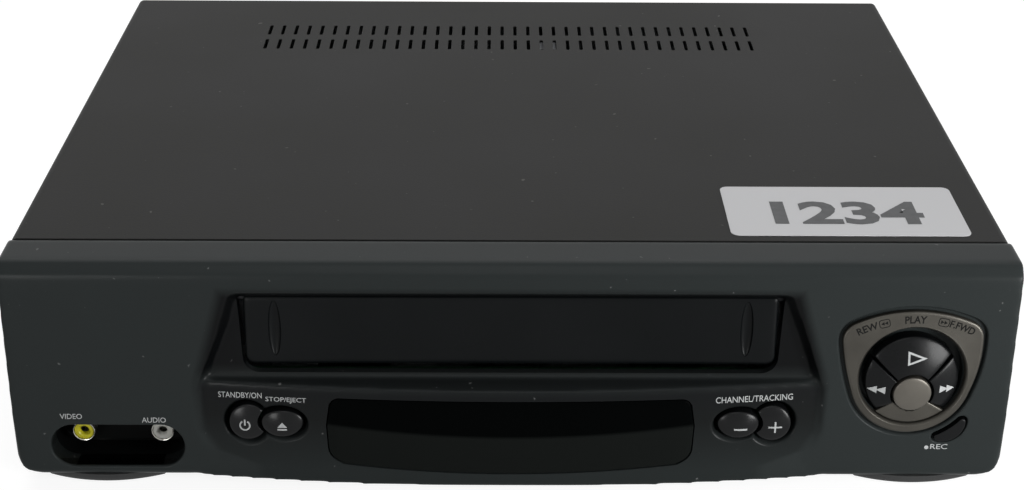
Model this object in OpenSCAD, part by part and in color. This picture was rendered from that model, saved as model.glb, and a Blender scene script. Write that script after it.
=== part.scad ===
// Front-loading video cassette recorder, with its casing, front panel and tape deck.
// X runs to the right as seen from the front, Y runs to the back and Z is up.
// The origin is the centre of the footprint, on the surface that the feet stand on.

/* [Casing] */
// Width of the casing
body_w = 360; // [350:1:400]
// Height of the casing above its feet
body_h = 84; // [84:1:100]
// Height of the feet
foot_h = 5; // [3:0.5:12]
// Depth of the top cover, from the front panel's seam to the back
cover_d = 252; // [246:1:300]
// Thickness of the cover's sheet steel
sheet = 1; // [0.6:0.1:1.2]
// Outer radius of the cover's bends
bend_r = 3; // [2:0.5:6]
// Height of the lip folded down at the back of the cover
lip_h = 10; // [8:1:14]
// Thickness of the moulded base tray
base_t = 2; // [1.5:0.1:3]
// Height of the base tray's side walls
base_wall_h = 12; // [6:1:20]
// Gap between parts of the casing that are laid against each other
seat_gap = 0.15; // [0.05:0.05:0.3]

/* [Cover vents and screws] */
// Slots in one row
vent_n = 38; // [10:1:44]
// Distance from slot to slot
vent_pitch = 6; // [4:0.5:7]
// Width of a slot
vent_w = 1.6; // [1:0.1:2.5]
// Length of a slot
vent_l = 12; // [8:0.5:14]
// Distance between the two rows
vent_row_step = 18; // [16:0.5:24]
// Distance from the back of the cover to the rear row
vent_inset = 40; // [30:1:60]
// Radius of a casing screw's head
screw_head_r = 3.4; // [2.5:0.1:4]
// Radius of a casing screw's thread
screw_r = 1.4; // [1:0.1:1.8]

/* [Front panel] */
// Depth from the seam to the top of the front face
top_depth = 20; // [18:0.5:30]
// Drop from the casing's top to the ridge above the front face
ridge_drop = 3.5; // [2:0.5:6]
// Lean of the front face, bottom forwards, in degrees
face_tilt = 5; // [3:0.5:6]
// Wall of the front panel
wall = 2.5; // [2:0.1:3]
// Radius of the front panel's bottom corners
corner_r = 9; // [6:0.5:14]
// Radius of the front panel's upright edges
edge_r = 3; // [1.5:0.5:5]
// Width by which the front panel stands proud of the cover on each side
proud = 0.5; // [0:0.1:1]
// Depth of the hollow round the cassette flap
scoop_depth = 5; // [3.5:0.5:6]
// Width of the hollow beside the mouth at its top
scoop_side = 6; // [4:0.5:9]
// Width of the hollow at its widest
scoop_w = 228; // [224:1:230]
// Drop from the casing's top to the hollow
scoop_drop = 9.8; // [8:0.1:11]
// Room beside the cassette on each side of the mouth
mouth_side = 3.5; // [2:0.5:6]
// Drop from the casing's top to the cassette opening
mouth_drop = 14; // [13:0.1:16]
// Height of the cassette opening
mouth_h = 30.4; // [30:0.1:32]
// Reach of the bowed lower front ahead of the seam
chin_reach = 34; // [33:0.5:40]
// Radius of the bow
chin_r = 900; // [700:10:1500]
// Lean of the bow, in degrees
chin_lean = 8.5; // [7:0.5:10]
// Width of the bowed lower front
chin_w = 220; // [216:1:224]
// Drop from the casing's top to the ledge below the flap
ledge_drop = 46; // [45.5:0.5:48]

/* [Cassette and flap] */
// Rim of the deck outside the cassette on each side
cass_side = 6; // [4:0.5:12]
// Height of a cassette
cass_h = 25; // [24:0.5:25]
// How far the flap reaches past the cassette on each side
flap_side = 1.5; // [0.5:0.5:3]
// Height of the flap below its pin
flap_h = 26; // [24:0.5:27]
// Thickness of the flap
flap_t = 2.2; // [1.6:0.1:2.6]
// Radius of the flap's pins
flap_pin_r = 1.2; // [0.8:0.1:1.4]
// Length of each pin
flap_pin_l = 4; // [3:0.5:5]
// Running clearance of pins, shafts and pivots
run_gap = 0.05; // [0.03:0.01:0.1]

/* [Keys and window] */
// Distance of the round keys from the middle
round_key_x = 95.2; // [94:0.1:97]
// Radius of the round keys
round_key_r = 6.8; // [6:0.1:7.5]
// Distance of the oval keys from the middle
oval_key_x = 82.6; // [81:0.1:84]
// Half width of the oval keys
oval_key_a = 7.8; // [7:0.1:8.5]
// Half height of the oval keys
oval_key_b = 4.9; // [4.2:0.1:5.5]
// Height of these keys' middle above the surface
chin_key_z = 27.9; // [24:0.1:30]
// Gap round each key
key_gap = 0.4; // [0.3:0.05:0.7]
// Height by which keys stand out of the front
key_proud = 1.8; // [1:0.1:2.5]
// Depth of a key behind the front
key_depth = 5; // [4:0.5:5.5]
// Travel of a key
key_travel = 0.8; // [0.5:0.1:1]
// Half width of the display window
window_a = 66.5; // [60:0.5:69]
// Height of the window's top edge above the surface
window_top = 38.5; // [36:0.1:40]
// Height of the window's lower corners above the surface
window_low = 13.6; // [12:0.1:16]
// Drop of the window's lower edge below its corners
window_sag = 3.2; // [2:0.1:4]
// Thickness of the window
window_t = 2; // [1.5:0.1:2.4]

/* [Tape transport keys] */
// Place of the ring of keys, as a share of half the body width
ring_place = 0.8; // [0.76:0.01:0.82]
// Height of the ring's middle above the surface
ring_z = 46; // [44:0.1:47]
// Radius of the hole in the trim plate
ring_r = 19.1; // [18.5:0.1:19.5]
// Radius of the ring of keys
ring_key_r = 17.2; // [16:0.1:17.8]
// Radius of the key in the middle
hub_key_r = 6.9; // [6:0.1:7.5]
// Distance of the middle key below the ring's middle
hub_key_drop = 4.2; // [3:0.1:5]
// Radius of the trim plate's lower curve
trim_r = 22; // [21:0.1:22.5]
// Thickness of the trim plate
trim_t = 2.4; // [2:0.1:2.6]
// Gap round the trim plate
trim_gap = 1.2; // [0.8:0.1:1.5]
// Radius of the record key's curved side
rec_key_r = 7.6; // [7:0.1:8]

/* [Front sockets] */
// How much nearer to the middle the front sockets are than the ring of keys
av_step = 1; // [0:0.5:6]
// Height of the recess's middle above the surface
av_z = 17.3; // [17:0.1:19]
// Width of the recess
av_w = 48.5; // [46:0.5:50]
// Height of the recess
av_h = 17; // [16:0.5:18]
// Depth of the recess behind the face
av_depth = 18; // [17:0.5:19]
// Distance between the two sockets
jack_step = 29; // [26:0.5:30]
// Outer radius of a socket's barrel
jack_r = 4.15; // [4:0.05:4.3]
// Radius of a socket's bore
jack_bore_r = 1.65; // [1.5:0.05:1.8]
// Length of a barrel inside the recess
jack_l = 8; // [7:0.5:9]

/* [Deck] */
// Width of the deck plate
deck_w = 200; // [198:1:202]
// Thickness of the deck plate
deck_t = 1.2; // [1:0.1:1.5]
// Height of the deck plate above the base tray
deck_lift = 17; // [16:0.5:18]
// Height of a loaded cassette above the deck plate
load_lift = 5.8; // [5.6:0.1:7]
// Travel of the cassette into the machine
load_in = 66; // [64:1:68]
// Radius of the tape drum
drum_r = 31; // [30:0.1:31]
// Tilt of the tape drum, in degrees
drum_tilt = 5; // [3:0.5:6]
// Distance between the two reels
reel_step = 92; // [90:1:94]
// Radius of the reel tables
reel_r = 24; // [22:0.5:24.2]
// Radius of the capstan shaft
capstan_r = 1.5; // [1.2:0.1:2]
// Radius of the capstan's flywheel
flywheel_r = 24; // [20:0.5:26]
// Radius of the pinch roller
pinch_r = 8; // [7:0.1:8.2]
// Gear module of the deck's gears
gear_m = 1.25; // [1.25:0.05:1.3]
// Teeth of the cam gear
cam_teeth = 32; // [31:1:32]
// Teeth of the loading motor's pinion
motor_teeth = 10; // [9:1:11]
// Gear module of the carriage's rack
rack_m = 1; // [0.9:0.05:1.05]
// Teeth of the carriage's pinion
carriage_teeth = 20; // [18:1:21]

/* [Boards and rear sockets] */
// Height of the main board above the base tray
board_lift = 5; // [4:0.5:6]
// Thickness of the circuit boards
board_t = 1.6; // [1:0.1:1.6]
// Radius of the cord's bore in the mains bush
cord_bore_r = 3.5; // [3:0.1:4]
// Reach of the aerial sockets behind the casing
aerial_reach = 8; // [6:0.5:10]
// Outer radius of an aerial socket
aerial_r = 6.2; // [6:0.1:6.6]
// Inner radius of an aerial socket
aerial_bore_r = 4.8; // [4.7:0.05:5]
// Width of the stock label
label_w = 87.5; // [70:0.5:95]
// Depth of the stock label
label_d = 40.5; // [30:0.5:50]
// Thickness of the stock label
label_t = 0.2; // [0.1:0.05:0.4]

/* [Hidden] */
$fn = 64;

// Colours
dark_steel = "#454545";
dark_plastic = "#2b2e30";
black_plastic = "#161819";
gloss_black = "#0b0c0d";
warm_silver = "#8a8880";
steel = "#b4b6b8";
brass_tone = "#b08d3c";
board_green = "#2f5b3a";
white_plastic = "#d8d8d2";
rubber_black = "#1c1c1c";

// Levels
z_base = foot_h;
z_top = foot_h + body_h;
z_floor = z_base + base_t;
z_board = z_floor + board_lift;
z_deck = z_floor + deck_lift;
z_deck_top = z_deck + deck_t;
z_load = z_deck_top + load_lift;
z_ridge = z_top - ridge_drop;
z_mouth_top = z_top - mouth_drop;
z_mouth = z_mouth_top - mouth_h;
z_ledge = z_top - ledge_drop;

// Depths
y_front = -(chin_reach + cover_d + aerial_reach) / 2;
y_seam = y_front + chin_reach;
y_back = y_seam + cover_d;
half_w = body_w / 2;
panel_half_w = half_w + proud;
ring_x = ring_place * half_w;
av_x = ring_x - av_step;
cass_w = deck_w - 2 * cass_side;
mouth_w = cass_w + 2 * mouth_side;
flap_w = cass_w + 2 * flap_side;
scoop_top_w = mouth_w + 2 * scoop_side;
board_half_w = half_w - 10;

// Depth of the front face at a height, and of the bowed lower front at the middle
function face_y(z) = y_seam - top_depth - (z_ridge - z) * tan(face_tilt);
function chin_y(z) = y_front + (z - z_base) * tan(chin_lean);
function bow_y(x, z) = chin_y(z) + (chin_r - sqrt(chin_r * chin_r - x * x)) / cos(chin_lean);

// Outline helpers
function arc(c, r, a0, a1, n) =
    [for (i = [0:n]) c + r * [cos(a0 + (a1 - a0) * i / n), sin(a0 + (a1 - a0) * i / n)]];

module along_x(len) {
    rotate([90, 0, 90]) linear_extrude(len, center = true) children();
}

module along_y(y0, y1) {
    translate([0, y1, 0]) rotate([90, 0, 0]) linear_extrude(y1 - y0) children();
}

// A frame on the leaning face: X across, Z up the face from its ridge, Y into the panel
module on_face() {
    translate([0, face_y(z_ridge), z_ridge]) rotate([-face_tilt, 0, 0]) children();
}

function face_z(z) = (z - z_ridge) / cos(face_tilt);

module rounded(w, h, r) {
    translate([r - w / 2, -h / 2]) square([w - 2 * r, h]);
    translate([-w / 2, r - h / 2]) square([w, h - 2 * r]);
    for (sx = [-1, 1], sz = [-1, 1]) translate([sx * (w / 2 - r), sz * (h / 2 - r)]) circle(r);
}

// Casing

vent_len = (vent_n - 1) * vent_pitch;
rear_vent_y = y_back - vent_inset;

module vent_slots() {
    for (row = [0, 1], i = [0:vent_n - 1])
        translate([i * vent_pitch - vent_len / 2, rear_vent_y - row * vent_row_step]) {
            square([vent_w, vent_l - vent_w], center = true);
            for (s = [-1, 1]) translate([0, s * (vent_l - vent_w) / 2]) circle(vent_w / 2, $fn = 16);
        }
}

module cover_profile(w, h, r) {
    translate([-w / 2, z_base + 1]) square([w, h - 1 - r]);
    translate([r - w / 2, z_base + 1]) square([w - 2 * r, h - 1]);
    for (s = [-1, 1]) translate([s * (w / 2 - r), z_base + h - r]) circle(r);
}

cover_screw_x = [-half_w + 30, 0, half_w - 30];
screw_z = z_top - lip_h / 2 - 0.5;

module top_cover() color(dark_steel) difference() {
    union() {
        difference() {
            along_y(y_seam, y_back) cover_profile(body_w, body_h, bend_r);
            along_y(y_seam - 1, y_back + 1) translate([0, -1])
                cover_profile(body_w - 2 * sheet, body_h - sheet + 1, bend_r - sheet);
        }
        translate([-half_w + bend_r, y_back - sheet, z_top - lip_h])
            cube([body_w - 2 * bend_r, sheet, lip_h - sheet / 2]);
    }
    translate([0, 0, z_top - 2 * sheet]) linear_extrude(3 * sheet) vent_slots();
    for (x = cover_screw_x) translate([x, y_back, screw_z]) rotate([90, 0, 0])
        cylinder(r = screw_r + seat_gap, h = 4 * sheet, center = true);
}

module cover_screws() color(steel) for (x = cover_screw_x) translate([x, y_back, screw_z]) {
    rotate([-90, 0, 0]) difference() {
        union() {
            intersection() {
                cylinder(r = screw_head_r, h = 2);
                translate([0, 0, 2 - 2 * screw_head_r]) sphere(2 * screw_head_r);
            }
            translate([0, 0, -8]) cylinder(r = screw_r, h = 8.5);
        }
        for (a = [0, 90]) rotate(a) translate([-2, -0.4, 1.1]) cube([4, 0.8, 2]);
    }
}

tray_half_w = half_w - sheet - seat_gap;
rear_y = y_back - sheet - seat_gap - sheet;
deck_post_x = 84;
deck_post_y = [y_seam + 18, y_seam + 187];
board_post_x = half_w - 30;
board_post_y = [y_seam + 14, y_seam + 125, y_seam + 235];
hook_x = [-100, -50, 50, 100];

module bottom_chassis() color(black_plastic) difference() {
    union() {
        translate([-tray_half_w, y_seam + seat_gap, z_base])
            cube([2 * tray_half_w, rear_y - seat_gap - y_seam - seat_gap, base_t]);
        for (s = [-1, 1]) translate([s * (tray_half_w - base_t / 2), 0, z_base])
            translate([-base_t / 2, y_seam + seat_gap, 0])
                cube([base_t, rear_y - 2 * seat_gap - y_seam, base_wall_h]);
        for (x = hook_x) translate([x - 6, y_seam - 8, z_base + wall + seat_gap]) {
            cube([12, 8 + 4, 2]);
            translate([0, 8 + 2, -1]) cube([12, 4, 3]);
        }
        for (s = [-1, 1], y = deck_post_y) translate([s * deck_post_x, y, z_base])
            cylinder(r = 4, h = z_deck - z_base);
        for (s = [-1, 1], y = board_post_y) translate([s * board_post_x, y, z_base])
            cylinder(r = 3, h = z_board - z_base);
        for (s = [-1, 1]) translate([-av_x + s * 18, y_seam + 3, z_base])
            cylinder(r = 2.5, h = jack_board_z - z_base);
        for (i = [-3:3]) translate([i * 40 - 1, y_seam + 30, z_floor - 0.5]) cube([2, 180, 2]);
    }
    for (s = [-1, 1], i = [0:9]) translate([s * 128 - 20, y_seam + 60 + i * 8, z_base - 1])
        cube([40, 3, base_t + 2]);
}

gland_x = 40 - half_w;
gland_z = 30;
gland_r = 6;
scart_w = 47;
scart_h = 15;
scart_x = [55, 112];
scart_z = z_board + board_t + 3;
aerial_x = -17;
aerial_z = [z_top - 21, z_top - 45];

rear_slot_x = -110;
rear_slot_z = 26;

module rear_panel() color(steel) difference() {
    union() {
        difference() {
            along_y(rear_y, rear_y + sheet)
                cover_profile(2 * tray_half_w, body_h - sheet - seat_gap, bend_r - sheet);
            translate([-body_w, rear_y - 1, 0]) cube([2 * body_w, sheet + 2, z_floor + seat_gap]);
        }
        translate([-tray_half_w + bend_r, rear_y - 9, z_top - 2 * sheet - seat_gap])
            cube([2 * (tray_half_w - bend_r), 9 + sheet, sheet]);
        for (x = cover_screw_x) translate([x, rear_y, screw_z]) rotate([90, 0, 0])
            cylinder(r = 2.6, h = 1.5);
    }
    for (x = cover_screw_x) translate([x, rear_y, screw_z]) rotate([90, 0, 0])
        cylinder(r = screw_r + run_gap, h = 20, center = true);
    for (z = aerial_z) translate([aerial_x, rear_y, z]) rotate([90, 0, 0])
        cylinder(r = aerial_r + 0.5, h = 6, center = true);
    for (x = scart_x) translate([x - scart_w / 2 - 0.4, rear_y - 2, scart_z - 0.4])
        cube([scart_w + 0.8, 6, scart_h + 0.8]);
    translate([gland_x, rear_y, gland_z]) rotate([90, 0, 0])
        cylinder(r = gland_r + 0.05, h = 6, center = true);
    for (i = [0:11]) translate([rear_slot_x + i * 6, rear_y - 2, rear_slot_z]) cube([2.4, 6, 24]);
}

foot_x = half_w - 31;
foot_half_w = 22;
foot_arc_r = 56;
foot_front = 7.6;
foot_back = 33;

module front_feet() color(rubber_black) for (s = [-1, 1]) translate([s * foot_x, 0, 0])
    for (k = [0, 1]) translate([0, 0, k * foot_h / 2]) linear_extrude(foot_h / 2)
        intersection() {
            translate([0, y_front + foot_front + foot_arc_r + 1.2 - k * 1.2])
                circle(foot_arc_r, $fn = 180);
            translate([0, y_front + foot_front + foot_back / 2])
                rounded(2 * foot_half_w - 2.4 + k * 2.4, foot_back, 6);
        }

rear_foot_x = half_w - 35;

module rear_feet() color(rubber_black) for (s = [-1, 1])
    translate([s * rear_foot_x, y_back - 26, 0]) {
        cylinder(r = 9, h = 1.5);
        translate([0, 0, 1.5]) cylinder(r = 10.5, h = foot_h - 1.5);
    }

module stock_label() color(white_plastic)
    translate([half_w - 56.5, y_seam + 24.2, z_top]) linear_extrude(label_t)
        rounded(label_w, label_d, 3);

// Front panel

module panel_side(inset) {
    along_x(2 * body_w) polygon(concat(
        [[y_seam + (inset > 0 ? 1 : 0), z_base + inset], [y_seam + (inset > 0 ? 1 : 0), z_top - inset]],
        [[y_seam - top_depth + 4.4 + inset / 2, z_top - inset]],
        inset > 0 ? [] : arc([y_seam - top_depth + 4.4, z_top - 3], 3, 80, 140, 4),
        [[face_y(z_ridge) + inset, z_ridge - inset / 2]],
        [[face_y(z_base + 2) + inset, z_base + max(2, inset)]],
        [[face_y(z_base) + inset + 1.5, z_base + inset]]));
}

module panel_front(inset) {
    r = max(corner_r - inset, 1);
    w = 2 * (panel_half_w - inset);
    along_y(y_front - 10, y_seam + 5) {
        translate([-w / 2, z_base + r]) square([w, body_h]);
        translate([r - w / 2, z_base]) square([w - 2 * r, 2 * r]);
        for (s = [-1, 1]) translate([s * (w / 2 - r), z_base + r]) circle(r);
    }
}

module panel_plan(inset) {
    r = max(edge_r - inset, 0.5);
    w = 2 * (panel_half_w - inset);
    y0 = y_front - 10;
    translate([0, 0, z_base - 5]) linear_extrude(body_h + 10) {
        translate([-w / 2, y_seam - top_depth + 3]) square([w, top_depth + 2]);
        translate([r - w / 2, y0]) square([w - 2 * r, 60]);
        polygon([[-w / 2, y_seam - top_depth + 3], [-w / 2 + 0.6, face_y(z_base) + r + inset],
            [-w / 2 + r, face_y(z_base) + inset], [w / 2 - r, face_y(z_base) + inset],
            [w / 2 - 0.6, face_y(z_base) + r + inset], [w / 2, y_seam - top_depth + 3]]);
    }
}

module panel_block(inset) intersection() {
    panel_side(inset);
    panel_front(inset);
    panel_plan(inset);
}

module scoop_outline(grow) {
    top = face_z(z_top - scoop_drop) + grow;
    low = face_z(z_base + 7) - grow;
    a = scoop_top_w / 2 + grow;
    b = scoop_w / 2 + grow;
    mid = face_z(z_ledge);
    polygon(concat([[-a + 3, top], [a - 3, top], [a, top - 1.5], [b - 1, mid]],
        arc([b - 14, low + 14], 14, 0, -90, 4), arc([14 - b, low + 14], 14, -90, -180, 4),
        [[1 - b, mid], [-a, top - 1.5]]));
}

module scoop_floor(grow) {
    top = face_z(z_mouth_top) + 0.6 + grow;
    low = face_z(z_base + 7) + scoop_depth - grow;
    a = mouth_w / 2 + 0.6 + grow;
    b = chin_w / 2 + 1 + grow;
    mid = face_z(z_ledge);
    polygon(concat([[-a, top], [a, top], [a, mid + 6], [b, mid - 4]],
        arc([b - 10, low + 10], 10, 0, -90, 4), arc([10 - b, low + 10], 10, -90, -180, 4),
        [[-b, mid - 4], [-a, mid + 6]]));
}

module scoop(grow) on_face() hull() {
    rotate([90, 0, 0]) linear_extrude(0.02) scoop_outline(grow);
    translate([0, scoop_depth + grow, 0]) rotate([90, 0, 0]) linear_extrude(0.02)
        scoop_floor(grow);
}

module chin_block(inset) intersection() {
    translate([0, y_front + (chin_r + inset) / cos(chin_lean), z_base])
        rotate([-chin_lean, 0, 0]) cylinder(r = chin_r, h = chin_r, center = true, $fn = 360);
    along_x(body_w) polygon([[y_seam + (inset > 0 ? 1 : 0), z_base + inset],
        [y_seam + (inset > 0 ? 1 : 0), z_ledge - inset],
        [face_y(z_ledge) + scoop_depth, z_ledge - inset],
        [chin_y(z_ledge) - 2, z_ledge - 1 - inset], [y_front - 5, z_base + inset + 1.5],
        [y_front + 1.5, z_base + inset]]);
    along_y(y_front - 10, y_seam + 2) {
        w = chin_w / 2 - inset;
        polygon(concat([[-w, z_top], [w, z_top]], arc([w - 12, z_base + 18], 12, 0, -60, 4),
            arc([12 - w, z_base + 18], 12, -120, -180, 4)));
        translate([-w - 4, z_base]) square([2 * w + 8, 6]);
    }
}

module window_outline(grow) {
    a = window_a + grow;
    top = window_top + grow;
    low = window_low - grow;
    sag_r = (a * a + window_sag * window_sag) / (2 * window_sag);
    half = asin((a - 6) / sag_r);
    polygon(concat(arc([a - 5, top - 4], 4, 90, 20, 4), [[a, (top + low) / 2 + 2]],
        arc([a - 6.5, low + 6], 6, -5, -60, 4),
        arc([0, low - window_sag + sag_r], sag_r, half - 90, -half - 90, 16),
        arc([6.5 - a, low + 6], 6, -120, -175, 4), [[-a, (top + low) / 2 + 2]],
        arc([5 - a, top - 4], 4, 160, 90, 4)));
}

module oval(a, b) polygon([for (i = [0:35]) [a * cos(i * 10), b * sin(i * 10)]]);

module oval_key_2d(s, grow) translate([s * oval_key_x, chin_key_z])
    oval(oval_key_a + grow, oval_key_b + grow);

module round_key_2d(s, grow) difference() {
    translate([s * round_key_x, chin_key_z - 0.3]) circle(round_key_r + grow);
    oval_key_2d(s, 1.2 - grow);
}

trim_top_r = 50;

module trim_2d(grow) {
    zt = trim_r + 4.9 + grow;
    polygon(concat(arc([0, zt - trim_top_r - grow], trim_top_r + grow, 66, 114, 8),
        arc([-18.6, 16.6], 7 + grow, 122, 178, 5), [[-24.6 - grow, 7]],
        arc([0, 0], trim_r + grow, 196, 344, 20), [[24 + grow, 6]],
        arc([17.6, 16.6], 6.8 + grow, 2, 58, 5)));
}

rec_edge_r = trim_r + 2.6;

module rec_2d(grow) difference() {
    translate([13.7, -18.2]) circle(rec_key_r + grow);
    circle(rec_edge_r - grow);
}

// Places its children on the face, with the ring's middle as their origin
module on_ring() on_face() translate([ring_x, 0, face_z(ring_z)]) children();

// A flat outline made solid between two depths behind the face
module plate_in(d0, d1) translate([0, d1, 0]) rotate([90, 0, 0]) linear_extrude(d1 - d0) children();

pocket_wall = 1.5;

module av_outline(grow) translate([-av_x, av_z])
    rounded(av_w + 2 * grow, av_h + 2 * grow, av_h / 2 + grow - 0.01);

av_floor_y = face_y(av_z) + av_depth;
flap_pin_z = z_mouth_top - 1.6;
flap_face_y = face_y(flap_pin_z) + scoop_depth;
flap_pin_y = flap_face_y + 1.9;
board_y = y_seam - 11;
front_post = [[-100, 38], [-72, 12], [-20, 39], [72, 12], [104, 38], [ring_x + 18, 20],
    [ring_x - 20, 60]];

module front_panel() color(dark_plastic) difference() {
    union() {
        difference() {
            union() {
                difference() {
                    panel_block(0);
                    scoop(0);
                }
                chin_block(0);
            }
            union() {
                difference() {
                    panel_block(wall);
                    scoop(wall);
                }
                chin_block(wall);
            }
        }
        // Pocket behind the front sockets
        intersection() {
            along_y(face_y(av_z) + 1, av_floor_y + pocket_wall) av_outline(pocket_wall);
            panel_block(0.2);
        }
        // Ledge that carries the trim plate
        on_ring() plate_in(wall - 0.5, trim_t + 2) trim_2d(3.4);
        // Bearings of the flap's pins
        for (s = [-1, 1]) translate([s * (mouth_w / 2 + 2.4), flap_pin_y + 1.2, flap_pin_z])
            cube([4, 5, 7], center = true);
        // Posts that carry the front circuit board
        for (p = front_post) intersection() {
            along_y(y_front, board_y) translate(p) circle(2.5);
            union() {
                panel_block(wall / 2);
                chin_block(wall / 2);
            }
        }
    }
    // Cassette mouth
    along_y(y_front, y_seam) polygon(concat(
        [[-mouth_w / 2, z_mouth_top], [mouth_w / 2, z_mouth_top]],
        arc([mouth_w / 2 - 7, z_mouth + 6], 6, 0, -90, 6),
        arc([7 - mouth_w / 2, z_mouth + 6], 6, -90, -180, 6)));
    for (s = [-1, 1]) translate([s * (mouth_w / 2 + 2), flap_pin_y, flap_pin_z])
        rotate([0, 90, 0]) cylinder(r = flap_pin_r + run_gap, h = 6, center = true);
    // Window and the keys beside it
    along_y(y_front - 1, y_seam) window_outline(0);
    for (s = [-1, 1]) {
        along_y(y_front - 1, y_seam) {
            oval_key_2d(s, key_gap);
            round_key_2d(s, key_gap);
        }
        along_y(y_front - 1, bow_y(oval_key_x, chin_key_z) + 0.9) {
            oval_key_2d(s, 1.5);
            translate([s * round_key_x, chin_key_z - 0.3]) circle(round_key_r + 1.4);
        }
    }
    // Sockets
    along_y(y_front - 1, av_floor_y) av_outline(0);
    for (s = [-1, 1]) translate([s * jack_step / 2 - av_x, av_floor_y, jack_z])
        rotate([90, 0, 0]) cylinder(r = jack_r + seat_gap, h = 10, center = true);
    // Trim plate, the keys inside it and the record key
    on_ring() {
        plate_in(-4, trim_t - 0.6) trim_2d(trim_gap);
        plate_in(-4, 12) circle(ring_key_r + 0.9);
        plate_in(-4, 12) rec_2d(key_gap);
        plate_in(-4, 0.8) rec_2d(1.2);
    }
}

module lens(out, back, grow) intersection() {
    along_y(y_front - 5, y_seam) window_outline(grow);
    difference() {
        chin_block(-out);
        chin_block(back);
    }
}

module display_window() color(gloss_black) union() {
    intersection() {
        lens(-0.1, window_t, -seat_gap);
        translate([-body_w / 2, y_front - 5, z_base]) cube([body_w, 16, body_h]);
    }
    for (s = [-1, 1]) intersection() {
        along_y(chin_y(z_base), y_seam) translate([s * 40, 25]) square([6, 20], center = true);
        difference() {
            chin_block(window_t - 0.1);
            chin_block(window_t + 3);
        }
        translate([-body_w / 2, y_front - 5, z_base]) cube([body_w, 16, body_h]);
    }
}

// Transport trim and keys

// Wedge from the ring's middle key outwards, between two angles
module wedge(a0, a1) translate([0, -hub_key_drop])
    polygon(concat([[0, 0]], arc([0, 0], 40, a0, a1, 8)));

play_from = 57;
play_to = 127;
left_to = 197;
right_from = -17;

module transport_trim() color(warm_silver) on_ring() {
    difference() {
        plate_in(-0.8, trim_t - 0.6 - seat_gap) trim_2d(0);
        plate_in(-4, 8) circle(ring_r - 0.9);
        translate([0, -1, 0]) rotate([-90, 0, 0]) cylinder(r1 = ring_r + 0.3, r2 = ring_r - 0.9, h = 1.4);
    }
    // Fixed sector below the keys
    plate_in(0.4, trim_t - 0.6 - seat_gap) difference() {
        intersection() {
            circle(ring_r - 0.5);
            wedge(left_to + 2, 360 + right_from - 2);
        }
        translate([0, -hub_key_drop]) circle(hub_key_r + 0.5);
    }
}

// Length of the stem behind a key on the leaning face, so that it rests near its switch
function stem_len(z) = max(0.2, board_y - switch_h - key_travel - 0.3 - face_y(z) - key_depth);

// A key standing in the ring: an outline with a domed front and a stem behind
module ring_key(dome_r, out, stem) on_ring() {
    intersection() {
        plate_in(-out, key_depth) children();
        translate([0, dome_r - out, -2]) sphere(dome_r, $fn = 96);
    }
    translate([stem[0], key_depth - 0.5, stem[1]]) rotate([-90, 0, 0])
        cylinder(r = 2, h = stem_len(ring_z + stem[1]) + 0.5);
}

module ring_sector(a0, a1) intersection() {
    difference() {
        circle(ring_key_r);
        translate([0, -hub_key_drop]) circle(hub_key_r + 0.8);
    }
    wedge(a0, a1);
}

module play_key() color(black_plastic)
    ring_key(48, 2.6, [0, 9]) ring_sector(play_from + 1, play_to - 1);

module rewind_key() color(black_plastic)
    ring_key(48, 2.6, [-12, -2]) ring_sector(play_to + 1, left_to - 1);

module fast_forward_key() color(black_plastic)
    ring_key(48, 2.6, [12, -2]) ring_sector(right_from + 1, play_from - 1);

module centre_key() color(warm_silver)
    ring_key(40, 3, [0, -hub_key_drop]) translate([0, -hub_key_drop]) circle(hub_key_r);

module record_key() color(black_plastic) on_ring() {
    plate_in(-0.9, key_depth) rec_2d(0);
    translate([15.5, key_depth - 0.5, -20]) rotate([-90, 0, 0])
        cylinder(r = 2, h = stem_len(ring_z - 20) + 0.5);
}

// Keys on the bowed front, with a domed face and a stem that reaches the switch
module chin_key(cx, dome_r, stem_x) {
    y0 = bow_y(cx, chin_key_z) - key_proud;
    intersection() {
        along_y(y0, y0 + key_proud + key_depth) children();
        translate([cx, y0 + dome_r, chin_key_z + 1]) sphere(dome_r, $fn = 96);
    }
    translate([stem_x, y0 + key_proud + key_depth - 0.5, chin_key_z]) rotate([-90, 0, 0])
        cylinder(r = 2, h = board_y - switch_h - key_travel - 0.2 - y0 - key_proud - key_depth + 0.5);
}

switch_h = 4.3;

module power_key() color(gloss_black)
    chin_key(-round_key_x, 22, -round_key_x - 2) round_key_2d(-1, 0);

module eject_key() color(gloss_black)
    chin_key(-oval_key_x, 16, -oval_key_x) oval_key_2d(-1, 0);

module channel_down_key() color(gloss_black)
    chin_key(oval_key_x, 16, oval_key_x) oval_key_2d(1, 0);

module channel_up_key() color(gloss_black)
    chin_key(round_key_x, 22, round_key_x + 2) round_key_2d(1, 0);

// Cassette flap, drawn upright behind its pin and then leaned like the face

module cassette_flap() color(black_plastic)
    translate([0, flap_pin_y, flap_pin_z]) rotate([-face_tilt, 0, 0]) {
        difference() {
            union() {
                along_y(-1.9, flap_t - 1.9) polygon(concat(
                    [[-flap_w / 2, 1], [flap_w / 2, 1]],
                    arc([flap_w / 2 - 3.4, 3 - flap_h], 3, 0, -90, 5),
                    arc([3.4 - flap_w / 2, 3 - flap_h], 3, -90, -180, 5)));
                rotate([0, 90, 0]) cylinder(r = 1.3, h = flap_w, center = true);
            }
            for (s = [-1, 1]) translate([s * (flap_w / 2 - 11), -5.9, -flap_h / 2 + 1.2]) groove_lens();
        }
        for (s = [-1, 1]) translate([s * (flap_w / 2 - 1), 0, 0]) rotate([0, s * 90, 0])
            cylinder(r = flap_pin_r, h = flap_pin_l + 1);
    }

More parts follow.
